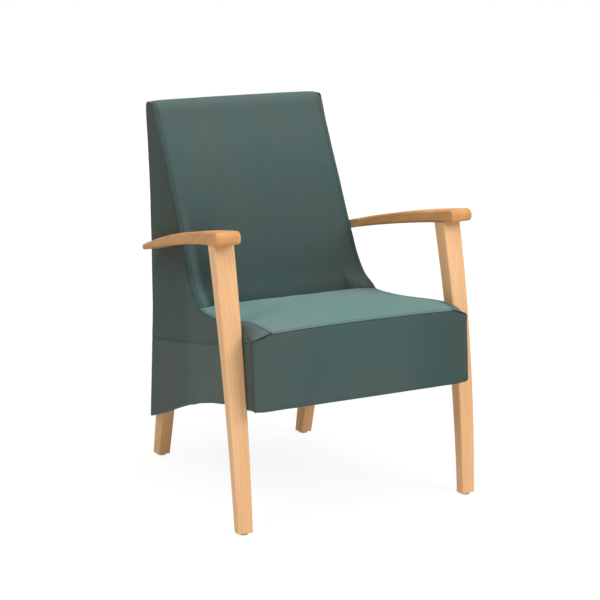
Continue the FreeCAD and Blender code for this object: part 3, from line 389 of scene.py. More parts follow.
@dataclass
class ClothPanel(ABC):
    """A sewn panel: a flat outline laid on a curved surface, rolled in at its seams.

    Attributes:
        form: The body that the panel covers.
        name: The piece's name.
        stands_for: CAD nodes that the piece replaces.
        step: Distance between points away from the seams.
        thick: Thickness of the cloth and its wadding.
        sway: Height of the soft unevenness of the cloth.
        fill: How full the padding under it is; not used.
        flip: Whether the flat coordinates are left-handed on the surface.
        stitch_in: Distance of a topstitch from its seam.
        twin_gap: Distance between the two rows where the seam lies on the face.
        insets: Distances from the outline of the rows of points along it.
    """

    form: BodyForm
    name: str = ""
    stands_for: tuple[str, ...] = ()
    step: float = 7.0
    thick: float = 2.0
    sway: float = 0.35
    fill: float = 0.9
    flip: bool = False
    stitch_in: float = 6.3
    twin_gap: float = 5.0
    insets: tuple[float, ...] = (0.5, 1.1, 1.9, 2.9, 4.0, 5.0, 5.7, 6.3, 6.9, 7.7, 8.4, 9.0, 9.6, 11.0,
                                 13.2, 14.0, 14.8, 17.0)

    @abstractmethod
    def borders(self) -> list[Border]:
        """The panel's outline, in order round it."""

    @abstractmethod
    def place(self, a: Array, b: Array) -> Array:
        """Points on the bare surface at flat coordinates."""

    def lift(self, a: Array, b: Array) -> Array:
        """How far the cloth stands out from the bare surface."""
        return np.zeros_like(a)

    def tone(self, a: Array, b: Array) -> Array:
        """Painted light and shade on the cloth by place, 1 for its plain colour."""
        return np.ones_like(a)

    def extra(self) -> Array:
        """More flat points, where the cloth has fine folds."""
        return np.empty((0, 2))

    def normals(self, a: Array, b: Array) -> Array:
        """Outward direction of the bare surface at flat coordinates."""
        e = 0.2
        across = self.place(a + e, b) - self.place(a - e, b)
        up = self.place(a, b + e) - self.place(a, b - e)
        out = np.cross(across, up)
        out /= np.maximum(np.linalg.norm(out, axis=1), 1e-9)[:, None]
        return -out if self.flip else out

    def settle(self, flat: Array) -> tuple[Array, Array, Array]:
        """Finished surface points and directions at flat coordinates, seams and stitch channels included.

        Args:
            flat: Flat coordinates.

        Returns:
            Points, outward directions, and the painted shade of the seams and stitch channels at each point,
            from 0 to 1.
        """
        a, b = flat.T
        spots, out = self.place(a, b), self.normals(a, b)
        rise = self.lift(a, b)
        roll, shade = np.zeros(len(flat)), np.zeros(len(flat))
        for k, border in enumerate(self.borders()):
            far, along = distance_to(resample(border.points, MEASURE_STEP), flat)
            near = np.clip(1 - far / border.width, 0.0, 1.0)
            roll = np.maximum(roll, border.depth * (1 - np.sqrt(1 - near ** 2)))
            if border.seam:
                wave = np.sin(along / 2.3 + 2.0 * np.sin(along / 11.0 + k)) * np.sin(along / 17.0 + 3 * k)
                rise = rise + PUCKER_HEIGHT * np.exp(-far / PUCKER_REACH) * wave
                # Painted shade along the seam's groove, kept for the cloth's colour.
                shade = np.maximum(shade, border.painted_seam_shade * np.exp(-((far / SEAM_SHADE_WIDTH) ** 2)))
            if border.stitched:
                channel = np.exp(-(((far - self.stitch_in) / CHANNEL_WIDTH) ** 2))
                if not border.seam:
                    twin = far - self.stitch_in - self.twin_gap
                    channel = np.maximum(channel, np.exp(-((twin / CHANNEL_WIDTH) ** 2)))
                welt = np.exp(-(((far - WELT_PLACE) / WELT_WIDTH) ** 2))
                rise = rise - CHANNEL_DEPTH * channel + WELT_HEIGHT * welt
                # Painted shade in the stitch channel.
                shade = np.maximum(shade, CHANNEL_SHADE * channel)
        soft = np.array([noise.noise(Vector(p) / 55.0) + 0.5 * noise.noise(Vector(p) / 24.0) for p in spots])
        return spots + out * (rise - roll + self.sway * soft)[:, None], out, shade

    def stitch_lines(self) -> list[tuple[Array, Array]]:
        """Lines of points, with their directions, that the topstitches follow."""
        lines = []
        outline = np.concatenate([resample(b.points, MEASURE_STEP)[:-1] for b in self.borders()])
        for border in self.borders():
            if not border.stitched:
                continue
            chain = resample(border.points, STITCH_STEP)
            way = np.gradient(chain, axis=0)
            way /= np.linalg.norm(way, axis=1)[:, None]
            spots = chain + np.c_[-way[:, 1], way[:, 0]] * self.stitch_in * self.turn(outline)
            keep = distance_to(np.r_[outline, outline[:1]], spots)[0] > 0.9 * self.stitch_in
            lines.append(self.settle(spots[keep])[:2])
        return lines

    @staticmethod
    def turn(outline: Array) -> float:
        """1 for an outline that runs anticlockwise, else -1."""
        x, y = outline.T
        return math.copysign(1.0, (x * np.roll(y, -1) - np.roll(x, -1) * y).sum())

    def flat_mesh(self) -> tuple[Array, Array, int]:
        """Triangles of the flat panel: fine rows along the seams and an even grid between.

        Returns:
            Flat points, triangles, and how many of the first points make the outline.
        """
        outline = np.concatenate([resample(b.points, OUTLINE_STEP)[:-1] for b in self.borders()])
        ring = np.r_[outline, outline[:1]]
        hand = self.turn(outline)
        way = np.roll(outline, -1, axis=0) - np.roll(outline, 1, axis=0)
        way /= np.linalg.norm(way, axis=1)[:, None]
        inward = np.c_[-way[:, 1], way[:, 0]] * hand
        rows = []
        for deep in self.insets:
            row = outline + inward * deep
            rows.append(row[(distance_to(ring, row)[0] > 0.94 * deep) & inside(outline, row)])
        low, high = outline.min(0), outline.max(0)
        pitch = self.step * math.sqrt(0.75)
        xs, ys = np.arange(low[0], high[0], self.step), np.arange(low[1], high[1], pitch)
        grid = np.stack(np.meshgrid(xs, ys), axis=2)
        grid[1::2, :, 0] += self.step / 2
        grid = grid.reshape(-1, 2)
        fine = self.extra()
        if len(fine):
            apart = np.hypot(*(grid[:, None] - fine[None]).transpose(2, 0, 1)).min(1)
            grid = np.r_[grid[apart > 0.55 * self.step], fine]
        grid = grid[inside(outline, grid)]
        grid = grid[distance_to(ring, grid)[0] > self.insets[-1] + 0.45 * self.step]
        points = np.concatenate([outline, *rows, grid])
        n = len(outline)
        edges = [(k, (k + 1) % n) for k in range(n)]
        done = delaunay_2d_cdt([Vector(p) for p in points], edges, [], 1, 1e-5)
        flat = np.array([tuple(v) for v in done[0]])
        faces = np.array([f[:3] for f in done[2]])
        source = {ids[0]: k for k, ids in enumerate(done[3]) if ids}
        order = [source[k] for k in range(n)]
        rest = [k for k in range(len(flat)) if k not in set(order)]
        rank = np.empty(len(flat), int)
        rank[order + rest] = np.arange(len(flat))
        return flat[order + rest], rank[faces], n

    def build(self) -> bpy.types.Object:
        """The panel as a closed shell, with its flat coordinates as a UV map in metres.

        Returns:
            The new object, linked to the scene.
        """
        flat, faces, n = self.flat_mesh()
        spots, out, shade = self.settle(flat)
        size = len(flat)
        corner = flat[faces]
        wide = np.cross(corner[:, 1] - corner[:, 0], corner[:, 2] - corner[:, 0])
        faces = np.where((wide > 0)[:, None], faces, faces[:, ::-1])
        if self.flip:
            faces = faces[:, ::-1]
        hand = self.turn(flat[:n]) * (-1.0 if self.flip else 1.0)
        ring = np.arange(n)
        after = np.roll(ring, -1)
        rim = np.r_[np.c_[ring, ring + size, after], np.c_[after, ring + size, after + size]]
        if hand < 0:
            rim = rim[:, ::-1]
        triangles = np.r_[faces, faces[:, ::-1] + size, rim]
        shell = np.r_[spots, spots - out * self.thick]
        verts = (shell + [0.0, SEAT_FRONT_Y, 0.0]) * MM
        mesh = bpy.data.meshes.new(self.name)
        mesh.from_pydata(verts.tolist(), [], triangles.tolist())
        layer = mesh.uv_layers.new(name="cloth")
        uv = np.r_[flat, flat] * MM
        index = np.empty(len(mesh.loops), int)
        mesh.loops.foreach_get("vertex_index", index)
        layer.data.foreach_set("uv", uv[index].ravel())
        # Painted seam and channel shade, as an attribute that darkens the cloth's colour.
        seam = mesh.attributes.new("seam", "FLOAT", "POINT")
        seam.data.foreach_set("value", np.r_[shade, shade])
        # Painted light and shade by place, as an attribute that scales the cloth's colour.
        tone = self.tone(*flat.T)
        light = mesh.attributes.new("tone", "FLOAT", "POINT")
        light.data.foreach_set("value", np.r_[tone, tone])
        mesh.polygons.foreach_set("use_smooth", np.ones(len(mesh.polygons), bool))
        mesh.update()
        return add_object(self.name, mesh)


@dataclass
class SeatTop(ClothPanel):
    """The seat's top panel, from the front seam to the crease under the back."""

    end_run: float = 402.0
    front_run: float = 0.6
    painted_light_level: float = 1.68

    def borders(self) -> list[Border]:
        """Front seam, right seam, hidden rear edge, left seam."""
        runs = np.linspace(self.front_run, self.end_run, 120)
        right = np.c_[self.form.seam_x(runs), runs]
        left = right[::-1] * [-1.0, 1.0]
        front = np.array([left[-1], right[0]])
        rear = np.array([right[-1], left[0]])
        return [Border(front, 6.0, 3.0, stitched=True), Border(right, 6.0, 2.8, stitched=True),
                Border(rear, seam=False), Border(left, 6.0, 2.8, stitched=True)]

    def place(self, a: Array, b: Array) -> Array:
        """A crown between the side seams, on the seat's rolled front and falling rear."""
        edge, low, mid = self.form.seam_x(b), self.form.seam_z(b), self.form.seat_mid(b)
        share = np.minimum(np.abs(a) / edge, 1.2)
        return np.c_[a, b, low + (mid - low) * (1 - share ** 2.5)]

    def lift(self, a: Array, b: Array) -> Array:
        """A soft sitting hollow and gathered cloth along the crease."""
        hollow = -2.5 * np.exp(-((a / 150.0) ** 2 + ((b - 230.0) / 110.0) ** 2))
        crease = self.form.seat_mid.knots[-2][0]
        gather = np.exp(-((crease - b) / 40.0) ** 2)
        pull = 0.5 * np.sin(a / 21.0 + 1.3 * np.sin(a / 57.0)) * gather
        return hollow + pull

    def tone(self, a: Array, b: Array) -> Array:
        """Painted light, paler than the upright panels."""
        return np.full_like(a, self.painted_light_level)


@dataclass
class UpperSide(ClothPanel):
    """Side of the back, its wing and the tail along the seat that wraps over the front corner."""

    side: Side = Side.RIGHT
    tuck: float = 1.8
    top_r: float = 9.0
    painted_light_level: float = 0.84
    painted_shade_up_back: float = 0.14
    painted_corner_light: float = 0.4

    def roll(self, a: Array) -> tuple[Array, Array, Array, Array, Array]:
        """How the cloth rolls over the seat's edge at lengths round the body.

        Args:
            a: Lengths round the body from the end of the flat front.

        Returns:
            Start height, top height, inward reach, roundness and length of the roll.
        """
        form = self.form
        x, run, _ = form.round_corner(a)
        top = form.side_top(run)
        seat_edge = np.where(a < form.arc, form.front_seam(form.flat + a), form.edge_z(run))
        start = np.where(run < form.wing_low[0], seat_edge, top - 6.0)
        reach = np.maximum(x - form.seam_x(run), 0.0) * (1 - ramp(run, 330.0, 350.0))
        bow = ramp(run, -10.0, 45.0) * (1 - ramp(run, 300.0, form.wing_low[0]))
        rise = top - start
        curved = QUARTER_ELLIPSE * np.sqrt((reach ** 2 + rise ** 2) / 2)
        length = (1 - bow) * np.hypot(reach, rise) + bow * curved
        return start, top, reach, bow, length

    def upper_edge(self, a: Array) -> Array:
        """Flat points of the upper seam at lengths round the body."""
        start, _, _, _, length = self.roll(a)
        return np.c_[a, start + length]

    def borders(self) -> list[Border]:
        """Front seam over the corner, band seam, rear edge, top edge, back seam, seat seam."""
        form = self.form
        round_in = np.linspace(0.0, form.arc, 10)
        front = np.r_[self.upper_edge(np.zeros(1)), np.c_[round_in, form.front_seam(form.flat + round_in)]]
        far = np.linspace(form.arc, form.band_end_run + form.detour, 160)
        band = np.c_[far, form.band(form.round_corner(far)[1])]
        band[0] = front[-1]
        heights = np.linspace(band[-1, 1], form.rear_top_z - self.top_r, 120)
        rear = np.c_[form.rear(heights) + form.detour, heights]
        rear[0] = band[-1]
        back = self.upper_edge(np.linspace(form.top_run, form.wing_low[0], 160) + form.detour)
        bend = np.linspace(0.0, math.pi / 2, 8)
        curve = rear[-1] + self.top_r * np.c_[np.cos(bend) - 1, np.sin(bend)]
        top = np.r_[curve, back[:1]]
        seat = self.upper_edge(np.linspace(form.wing_low[0] + form.detour, 0.0, 140))
        seat[0], seat[-1] = back[-1], front[0]
        return [Border(front, 5.0, 1.8, stitched=True), Border(band, 4.0, 1.7, stitched=True, painted_seam_shade=0.5),
                Border(rear, 5.0, 2.2), Border(top, 8.0, 2.4, seam=False), Border(back, 4.0, 1.2, seam=False),
                Border(seat, 5.0, 2.6)]

    def place(self, a: Array, b: Array) -> Array:
        """The upright side, and its roll inward over the edge of the seat."""
        x, run, _ = self.form.round_corner(a)
        start, top, reach, bow, length = self.roll(a)
        share = np.maximum((b - start) / length, 0.0)
        turn = share * math.pi / 2
        out = (1 - bow) * (1 - share) + bow * np.cos(turn)
        rise = (1 - bow) * share + bow * np.sin(turn)
        z = np.where(b > start, start + (top - start) * rise, b)
        x = x - reach * (1 - out)
        tuck = self.tuck * (1 - ramp(a, 0.0, 10.0))
        return np.c_[x * self.side.value, run + self.form.sweep(x, a) + tuck, z]

    def lift(self, a: Array, b: Array) -> Array:
        """Thin wadding, with slack folds that hang below the arm."""
        waves = np.sin(a / 33.0 + b / 95.0) * np.sin(b / 140.0 + 0.7)
        return 0.35 * waves * ramp(a, 150.0, 420.0)

    def tone(self, a: Array, b: Array) -> Array:
        """Painted shade over the whole panel, deeper up the back's side, and painted light over the front
        corner.
        """
        corner = (1 - ramp(a, 5.0, 60.0)) * ramp(b, 428.0, 442.0)
        return self.painted_light_level - self.painted_shade_up_back * ramp(b, 340.0, 700.0) + self.painted_corner_light * corner


@dataclass
class LowerSide(ClothPanel):
    """Side panel below the band seam, folded under the swooping hem."""

    side: Side = Side.RIGHT
    front_run: float = 66.0
    fold: float = 4.0
    under: float = 4.0

    def borders(self) -> list[Border]:
        """Hidden front seam, hem fold, rear edge, band seam."""
        form = self.form
        deep = self.fold * (math.pi / 2 - 1) + self.under
        runs = np.linspace(self.front_run, form.hem_end_run, 150)
        hem = np.c_[runs, form.hem(runs) - deep]
        back = np.linspace(form.band_end_run, self.front_run, 150)
        band = np.c_[back, form.band(back)]
        heights = np.linspace(hem[-1, 1], band[0, 1], 60)
        rear = np.c_[form.rear(heights), heights]
        rear[0], rear[-1] = hem[-1], band[0]
        front = np.array([band[-1], hem[0]])
        return [Border(hem, seam=False, depth=0.0), Border(rear, 5.0, 2.4), Border(band, 4.0, 1.7, painted_seam_shade=0.5),
                Border(front, 4.0, 1.8)]

    def place(self, a: Array, b: Array) -> Array:
        """The upright side and the fold under its hem."""
        inward, z = turn_under(b, self.form.hem(a), self.fold)
        return np.c_[(self.form.half(a) - inward) * self.side.value, a, z]

    def lift(self, a: Array, b: Array) -> Array:
        """Long shallow waves that hang towards the hem."""
        low = 1 - ramp(b, self.form.hem(a) + 30.0, self.form.band(a))
        waves = np.sin(a / 24.0 + 0.8 * np.sin(a / 51.0)) + 0.6 * np.sin(a / 13.0 + b / 60.0)
        return 0.22 * low * waves * ramp(a, 120.0, 260.0)


@dataclass
class FrontBand(ClothPanel):
    """Padded band across the front and round both corners, folded under the board."""

    return_run: float = 66.0
    fold: float = 7.0
    under: float = 2.0
    corner_rise: float = 3.5
    sweep_from: float = 285.0
    sweep_rise: float = 120.0
    crown: float = 2.2
    crown_from: float = 271.0
    crown_rise: float = 170.0
    painted_right_shade: float = 0.2
    painted_corner_shade: float = 0.3

    def borders(self) -> list[Border]:
        """Fold under the board, right end, upper seam, left end."""
        form = self.form
        end = form.flat + form.detour + self.return_run
        deep = self.fold * (math.pi / 2 - 1) + self.under
        far = np.linspace(-end, end, 260)
        out = np.abs(far)
        run = form.round_corner(out - form.flat)[1]
        top = np.where(out < form.flat + form.arc, form.front_seam(out), form.band(run))
        hem, upper = np.c_[far, self.hem(out) - deep], np.c_[far, top][::-1]
        right, left = np.array([hem[-1], upper[0]]), np.array([upper[-1], hem[0]])
        return [Border(hem, seam=False, depth=0.0), Border(right, 4.0, 1.8), Border(upper, 5.0, 1.8),
                Border(left, 4.0, 1.8)]

    def hem(self, far: Array) -> Array:
        """Height of the lower edge, lifted a little round the corners."""
        run = self.form.round_corner(far - self.form.flat)[1]
        corner = ramp(far, self.form.flat - 26.0, self.form.flat + self.form.arc)
        return self.form.hem(run) + self.corner_rise * (corner * (1 - ramp(run, 12.0, 60.0)))

    def place(self, a: Array, b: Array) -> Array:
        """The upright band and the fold under it."""
        hand, far = np.where(a < 0, -1.0, 1.0), np.abs(a)
        past = far - self.form.flat
        x, run, angle = self.form.round_corner(past)
        high = np.clip((b - self.sweep_from) / self.sweep_rise, 0.0, 1.0)
        run = run + self.form.sweep(x, past) * high
        deep, z = turn_under(b, self.hem(far), self.fold)
        return np.c_[(x - deep * np.sin(angle)) * hand, run + deep * np.cos(angle), z]

    def lift(self, a: Array, b: Array) -> Array:
        """A shallow crown of padding on the flat front."""
        up = np.clip((b - self.crown_from) / self.crown_rise, 0.0, 1.0)
        across = np.clip(1 - (np.abs(a) / self.form.flat) ** 4, 0.0, 1.0)
        return self.crown * across * (1 - (2 * up - 1) ** 4)

    def tone(self, a: Array, b: Array) -> Array:
        """Painted shade, deeper towards the right end and round the left corner."""
        right, corner = ramp(a, 60.0, 250.0), ramp(-a, 264.0, 278.0)
        return (1 - self.painted_right_shade * right) * (1 - self.painted_corner_shade * corner)


@dataclass
class InsideBack(ClothPanel):
    """Inside of the back: from the crease, up between the wings and over the top to the rear seam."""

    half_flat: float = 226.0
    crown: float = 9.0
    ledge: float = 20.0
    valley: float = 166.0
    tuck: tuple[float, float] = (375.0, 400.0)
    curve_runs: tuple[float, float] = (392.5, 381.5)
    curve_heights: tuple[float, float] = (464.5, 457.0)
    spans: tuple[float, ...] = (0.0, 26.0, 71.0, 118.0, 218.0, 318.0, 418.0, 488.0, 514.0, 526.0, 541.0,
                                558.0)
    heights: tuple[float, ...] = (593.5, 683.0, 772.5, 835.0, 857.0)
    crown_shares: tuple[float, ...] = (1.0, 1.0, 0.9, 0.55, 0.3)
    painted_crease_level: float = 0.67
    painted_light_rise: float = 0.27
    painted_wing_light_and_shade: float = 0.4
    painted_edge_shade: float = 0.3

    def knots(self, far: Array) -> tuple[Array, Array]:
        """Profile points from the tuck to the rear seam, at distances from the middle.

        Args:
            far: Distances from the middle.

        Returns:
            Runs and heights, one row for each distance.
        """
        form = self.form
        share = np.clip(far / self.half_flat, 0.0, 1.0)
        crown = self.crown * (1 - share ** 5)
        climb = np.clip((far - self.valley) / (self.half_flat - self.ledge - self.valley), 0, 1)
        wing = np.sin(climb * math.pi / 2)
        low_run = self.tuck[0] - (self.tuck[0] - form.wing_low[0]) * wing
        curve_run = self.curve_runs[0] - (self.curve_runs[0] - self.curve_runs[1]) * wing
        curve_z = self.curve_heights[0] - (self.curve_heights[0] - self.curve_heights[1]) * wing
        end_run = form.wing_high[0] - crown
        slope = (form.top_run - form.wing_high[0]) / (form.top_z - form.wing_high[1])
        one = np.ones_like(far)
        arch = form.rear_top_z + 2.6 + 1.0 * (1 - share ** 2) - 3.0 * share ** 20
        runs = [low_run - 4.0, low_run, curve_run, end_run]
        heights = [self.tuck[1] * one, 426.0 + 2.5 * wing, curve_z, form.wing_high[1] * one]
        for z, full in zip(self.heights, self.crown_shares):
            runs.append(form.wing_high[0] + slope * (z - form.wing_high[1]) - full * crown)
            heights.append(z + (arch - form.rear_top_z) * ramp(z, 700.0, 860.0))
        runs += [(form.top_run + 1.5) * one, (form.top_run + 15.0) * one, (form.rear_top_run - 5.0) * one]
        heights += [arch - 4.0, arch + 0.5, arch - 1.5]
        return np.stack(runs, axis=1), np.stack(heights, axis=1)

    def borders(self) -> list[Border]:
        """Tucked edge, right edge, rear top seam, left edge."""
        low, high, w = self.spans[0], self.spans[-1], self.half_flat
        corners = np.array([(-w, low), (w, low), (w, high), (-w, high), (-w, low)])
        tucked, right, top, left = (corners[k:k + 2] for k in range(4))
        return [Border(tucked, seam=False, depth=0.0), Border(right, 13.0, 3.6, stitched=True, seam=False),
                Border(top, 5.0, 2.2), Border(left, 13.0, 3.6, stitched=True, seam=False)]

    def place(self, a: Array, b: Array) -> Array:
        """Smooth profiles from the tuck to the rear seam, side by side."""
        t = np.array(self.spans)
        runs, heights = self.knots(np.abs(a))
        h = np.diff(t)
        n = len(t)
        left, right = np.zeros((n, n)), np.zeros((n, n))
        left[0, 0] = left[-1, -1] = 1.0
        for k in range(1, n - 1):
            left[k, k - 1:k + 2] = h[k - 1], 2 * (h[k - 1] + h[k]), h[k]
            right[k, k - 1:k + 2] = 6 / h[k - 1], -6 / h[k - 1] - 6 / h[k], 6 / h[k]
        bend = np.linalg.solve(left, right).T
        k = np.clip(np.searchsorted(t, b) - 1, 0, n - 2)
        rows = np.arange(len(a))
        u, v = t[k + 1] - b, b - t[k]

        def spline(values: Array) -> Array:
            """Cubic through each row's values."""
            second = values @ bend
            m0, m1 = second[rows, k], second[rows, k + 1]
            y0, y1 = values[rows, k], values[rows, k + 1]
            low, high = y0 / h[k] - m0 * h[k] / 6, y1 / h[k] - m1 * h[k] / 6
            return (m0 * u ** 3 + m1 * v ** 3) / (6 * h[k]) + low * u + high * v

        run, z = spline(runs), spline(heights)
        return np.c_[a / self.half_flat * (self.form.half(run) - 1.2), run, z]

    def extra(self) -> Array:
        """Fine points along the pulled folds above the crease."""
        xs = np.r_[np.arange(82.0, 100.0, 1.6), np.arange(158.0, 198.0, 1.6)]
        grid = np.stack(np.meshgrid(xs, np.arange(20.0, 105.0, 4.0)), axis=2).reshape(-1, 2)
        return np.r_[grid, grid * [-1.0, 1.0]]

    def lift(self, a: Array, b: Array) -> Array:
        """Folds pulled into the crease beside each wing."""
        far = np.abs(a)
        fold = -3.6 * np.exp(-(((far - 164.0 - 0.14 * (b - 26.0)) / 2.1) ** 2)) * (1 - ramp(b, 34.0, 100.0))
        small = -3.0 * np.exp(-(((far - 188.0) / 1.7) ** 2)) * (1 - ramp(b, 30.0, 50.0))
        twin = np.exp(-(((far - 89.0) / 1.3) ** 2)) + np.exp(-(((far - 93.5) / 1.3) ** 2))
        twin = -2.2 * twin * (1 - ramp(b, 32.0, 72.0))
        return fold + small + np.where(a > 0, twin, 0.7 * twin)

    def tone(self, a: Array, b: Array) -> Array:
        """Painted shade deeper towards the crease, painted shadow and painted light beside the left wing, and
        painted shade along the left edge.
        """
        # Painted shadow low beside the left wing.
        painted_pocket_shadow = ramp(-a, 100.0, 165.0) * (1 - ramp(-a, 190.0, 206.0)) * (1 - ramp(b, 110.0, 300.0))
        # Painted light on the ledge beside the left wing.
        ledge = ramp(-a, 194.0, 208.0) * (1 - ramp(b, 120.0, 320.0))
        edge = 1 - self.painted_edge_shade * ramp(-a, 214.0, 225.0)
        height = self.painted_crease_level + self.painted_light_rise * ramp(b, 110.0, 480.0)
        return height * (1 - self.painted_wing_light_and_shade * painted_pocket_shadow + self.painted_wing_light_and_shade * ledge) * edge


@dataclass
class OutsideBack(ClothPanel):
    """Outside of the back, from the top seam down to the arched hem."""

    half_flat: float = 225.4
    arch: float = 45.0
    top_r: float = 9.0
    fold: float = 3.0
    under: float = 1.0

    def hem(self, a: Array) -> Array:
        """Height of the arched hem."""
        corner_z = self.form.hem.knots[-1][1]
        return corner_z + self.arch * (1 - np.minimum(np.abs(a) / self.half_flat, 1.0) ** 2)

    def borders(self) -> list[Border]:
        """Hem fold, right edge, top seam, left edge."""
        w, deep = self.half_flat, self.fold * (math.pi / 2 - 1) + self.under
        xs = np.linspace(-w, w, 120)
        hem = np.c_[xs, self.hem(xs) - deep]
        bend = np.linspace(0.0, math.pi / 2, 8)
        corner = np.array([w, self.form.rear_top_z - 0.5])
        curve = corner + self.top_r * np.c_[np.cos(bend) - 1, np.sin(bend) - 1]
        upper = np.r_[curve, curve[::-1] * [-1.0, 1.0]]
        right, left = np.array([hem[-1], upper[0]]), np.array([upper[-1], hem[0]])
        return [Border(hem, seam=False, depth=0.0), Border(right, 5.0, 2.0), Border(upper, 5.0, 2.0),
                Border(left, 5.0, 2.0)]

    def place(self, a: Array, b: Array) -> Array:
        """The back's rear curve, with the fold under its hem."""
        inward, z = turn_under(b, self.hem(a), self.fold)
        return np.c_[a, self.form.rear(z) - inward, z]

    def lift(self, a: Array, b: Array) -> Array:
        """Cloth stretched over an open frame, slightly hollow."""
        across = 1 - (np.abs(a) / self.half_flat) ** 2
        return -1.5 * across * np.sin(np.clip((b - 120.0) / 740.0, 0.0, 1.0) * math.pi)


@dataclass
class UnderCloth(ClothPanel):
    """Thin black cloth stapled across the underside, from the front board to the rear hem."""

    stitch_in: float = 7.0
    front_run: float = 24.9
    rear_run: float = 571.0
    level: Line = Line(((24.9, 273.5), (100, 264.1), (200, 247.1), (300, 224.8), (420, 190.7),
                        (500, 163.3), (571, 135.8)))
    corners: tuple[tuple[float, float], ...] = ((245.5, 24.9), (201.7, 420.0), (214.9, 420.3), (214.9, 571.0))
    cut: tuple[float, float] = (0.491, 0.568)
    cut_area: float = 0.2416

    def borders(self) -> list[Border]:
        """Front edge, right edge, rear edge, left edge."""
        right = np.array(self.corners)
        left = right[::-1] * [-1.0, 1.0]
        sides = [np.array([left[-1], right[0]]), right, np.array([right[-1], left[0]]), left]
        return [Border(chain, 3.0, 0.3, stitched=True, seam=False) for chain in sides]

    def place(self, a: Array, b: Array) -> Array:
        """The curve between the side boards' lower edges."""
        return np.c_[a, b, self.level(b)]

    def lift(self, a: Array, b: Array) -> Array:
        """A slight sag and shallow pulls towards the staples."""
        along = np.clip((b - self.front_run) / (self.rear_run - self.front_run), 0.0, 1.0)
        sag = 3.0 * (1 - np.minimum(np.abs(a) / 230.0, 1.0) ** 2) * np.sin(along * math.pi)
        edge = np.exp(-(np.minimum(b - self.front_run, self.rear_run - b) / 40.0) ** 2)
        return sag + 0.5 * edge * np.sin(a / 6.05)


class Shader:
    """Small helper that adds and joins nodes of one material.

    Args:
        name: The material's name.
    """

    def __init__(self, name: str) -> None:
        """Starts a material with a bare principled surface."""
        self.material = bpy.data.materials.new(name)
        self.material.use_nodes = True
        self.tree = self.material.node_tree
        self.surface = self.tree.nodes["Principled BSDF"]

    def add(self, kind: str, **values: object) -> bpy.types.Node:
        """Adds a node and sets its properties or its inputs.

        Args:
            kind: Node type.
            **values: Properties, or inputs with spaces as underscores.

        Returns:
            The new node.
        """
        node = self.tree.nodes.new(kind)
        for key, value in values.items():
            if hasattr(node, key):
                setattr(node, key, value)
            else:
                node.inputs[key.replace("_", " ")].default_value = value
        return node

    def join(self, start: Socket, end: Socket) -> None:
        """Links one socket to another."""
        self.tree.links.new(start, end)

    def feed(self, item: object, end: Socket) -> None:
        """Links a socket to an input, or sets the input to a plain value."""
        if isinstance(item, Socket):
            self.join(item, end)
        else:
            end.default_value = item

    def math(self, way: str, first: object, second: object = 0.0, third: object = 0.0) -> Socket:
        """Adds a math node.

        Args:
            way: The operation.
            first: A socket or number.
            second: A socket or number.
            third: A socket or number.

        Returns:
            The result's socket.
        """
        node = self.add("ShaderNodeMath", operation=way)
        for k, item in enumerate((first, second, third)):
            self.feed(item, node.inputs[k])
        return node.outputs[0]

    def mix(self, share: object, first: object, second: object) -> Socket:
        """Adds a colour mix.

        Args:
            share: A socket or number, 0 for the first colour.
            first: A socket or colour.
            second: A socket or colour.

        Returns:
            The mixed colour's socket.
        """
        node = self.add("ShaderNodeMix", data_type="RGBA")
        self.feed(share, node.inputs[0])
        for k, item in ((6, first), (7, second)):
            self.feed(item if isinstance(item, Socket) else (*item, 1.0), node.inputs[k])
        return node.outputs[2]

    def spread(self, value: Socket, low: float, high: float, to_low: float = 0.0,
               to_high: float = 1.0) -> Socket:
        """Maps a range of values to another, held at its ends.

        Args:
            value: The socket to map.
            low: Start of the range.
            high: End of the range.
            to_low: Value at the start.
            to_high: Value at the end.

        Returns:
            The mapped value's socket.
        """
        node = self.add("ShaderNodeMapRange", From_Min=low, From_Max=high, To_Min=to_low, To_Max=to_high)
        self.join(value, node.inputs[0])
        return node.outputs[0]

    def texture(self, kind: str, where: Socket, **values: object) -> bpy.types.Node:
        """Adds a texture node.

        Args:
            kind: Kind of texture.
            where: Coordinates.
            **values: Properties and inputs of the node.

        Returns:
            The new node.
        """
        node = self.add("ShaderNodeTex" + kind, **values)
        self.join(where, node.inputs["Vector"])
        return node

    def noise(self, where: Socket, scale: float, detail: float = 3.0, rough: float = 0.55) -> Socket:
        """Adds a noise texture.

        Args:
            where: Coordinates.
            scale: Noise scale.
            detail: Octaves.
            rough: Roughness of the octaves.

        Returns:
            The noise's value socket.
        """
        return self.texture("Noise", where, Scale=scale, Detail=detail, Roughness=rough).outputs[0]

    def mapped(self, kind: str, turn: Triple = (0, 0, 0), scale: Triple = (1, 1, 1)) -> Socket:
        """Object or UV coordinates, turned and then scaled.

        Args:
            kind: Output of the coordinate node.
            turn: Turns of the pattern in degrees.
            scale: Repeats of the pattern in a metre, on each of its turned axes.

        Returns:
            The coordinates' socket.
        """
        place = self.add("ShaderNodeTexCoord")
        node = self.add("ShaderNodeMapping", vector_type="TEXTURE")
        node.inputs["Rotation"].default_value = [math.radians(v) for v in turn]
        node.inputs["Scale"].default_value = [1.0 / v for v in scale]
        self.join(place.outputs[kind], node.inputs["Vector"])
        return node.outputs[0]

    def bump(self, height: Socket, strength: float, distance: float) -> None:
        """Joins a height to the surface's normal."""
        node = self.add("ShaderNodeBump", Strength=strength, Distance=distance)
        self.join(height, node.inputs["Height"])
        self.join(node.outputs[0], self.surface.inputs["Normal"])

    def shine(self, **values: object) -> None:
        """Sets values on the surface's own sockets, with spaces as underscores."""
        for key, value in values.items():
            self.surface.inputs[key.replace("_", " ")].default_value = value

    def paint(self, colour: Socket, rough: Socket | None = None) -> None:
        """Joins a colour, and a roughness if there is one, to the surface."""
        self.join(colour, self.surface.inputs["Base Color"])
        if rough is not None:
            self.join(rough, self.surface.inputs["Roughness"])


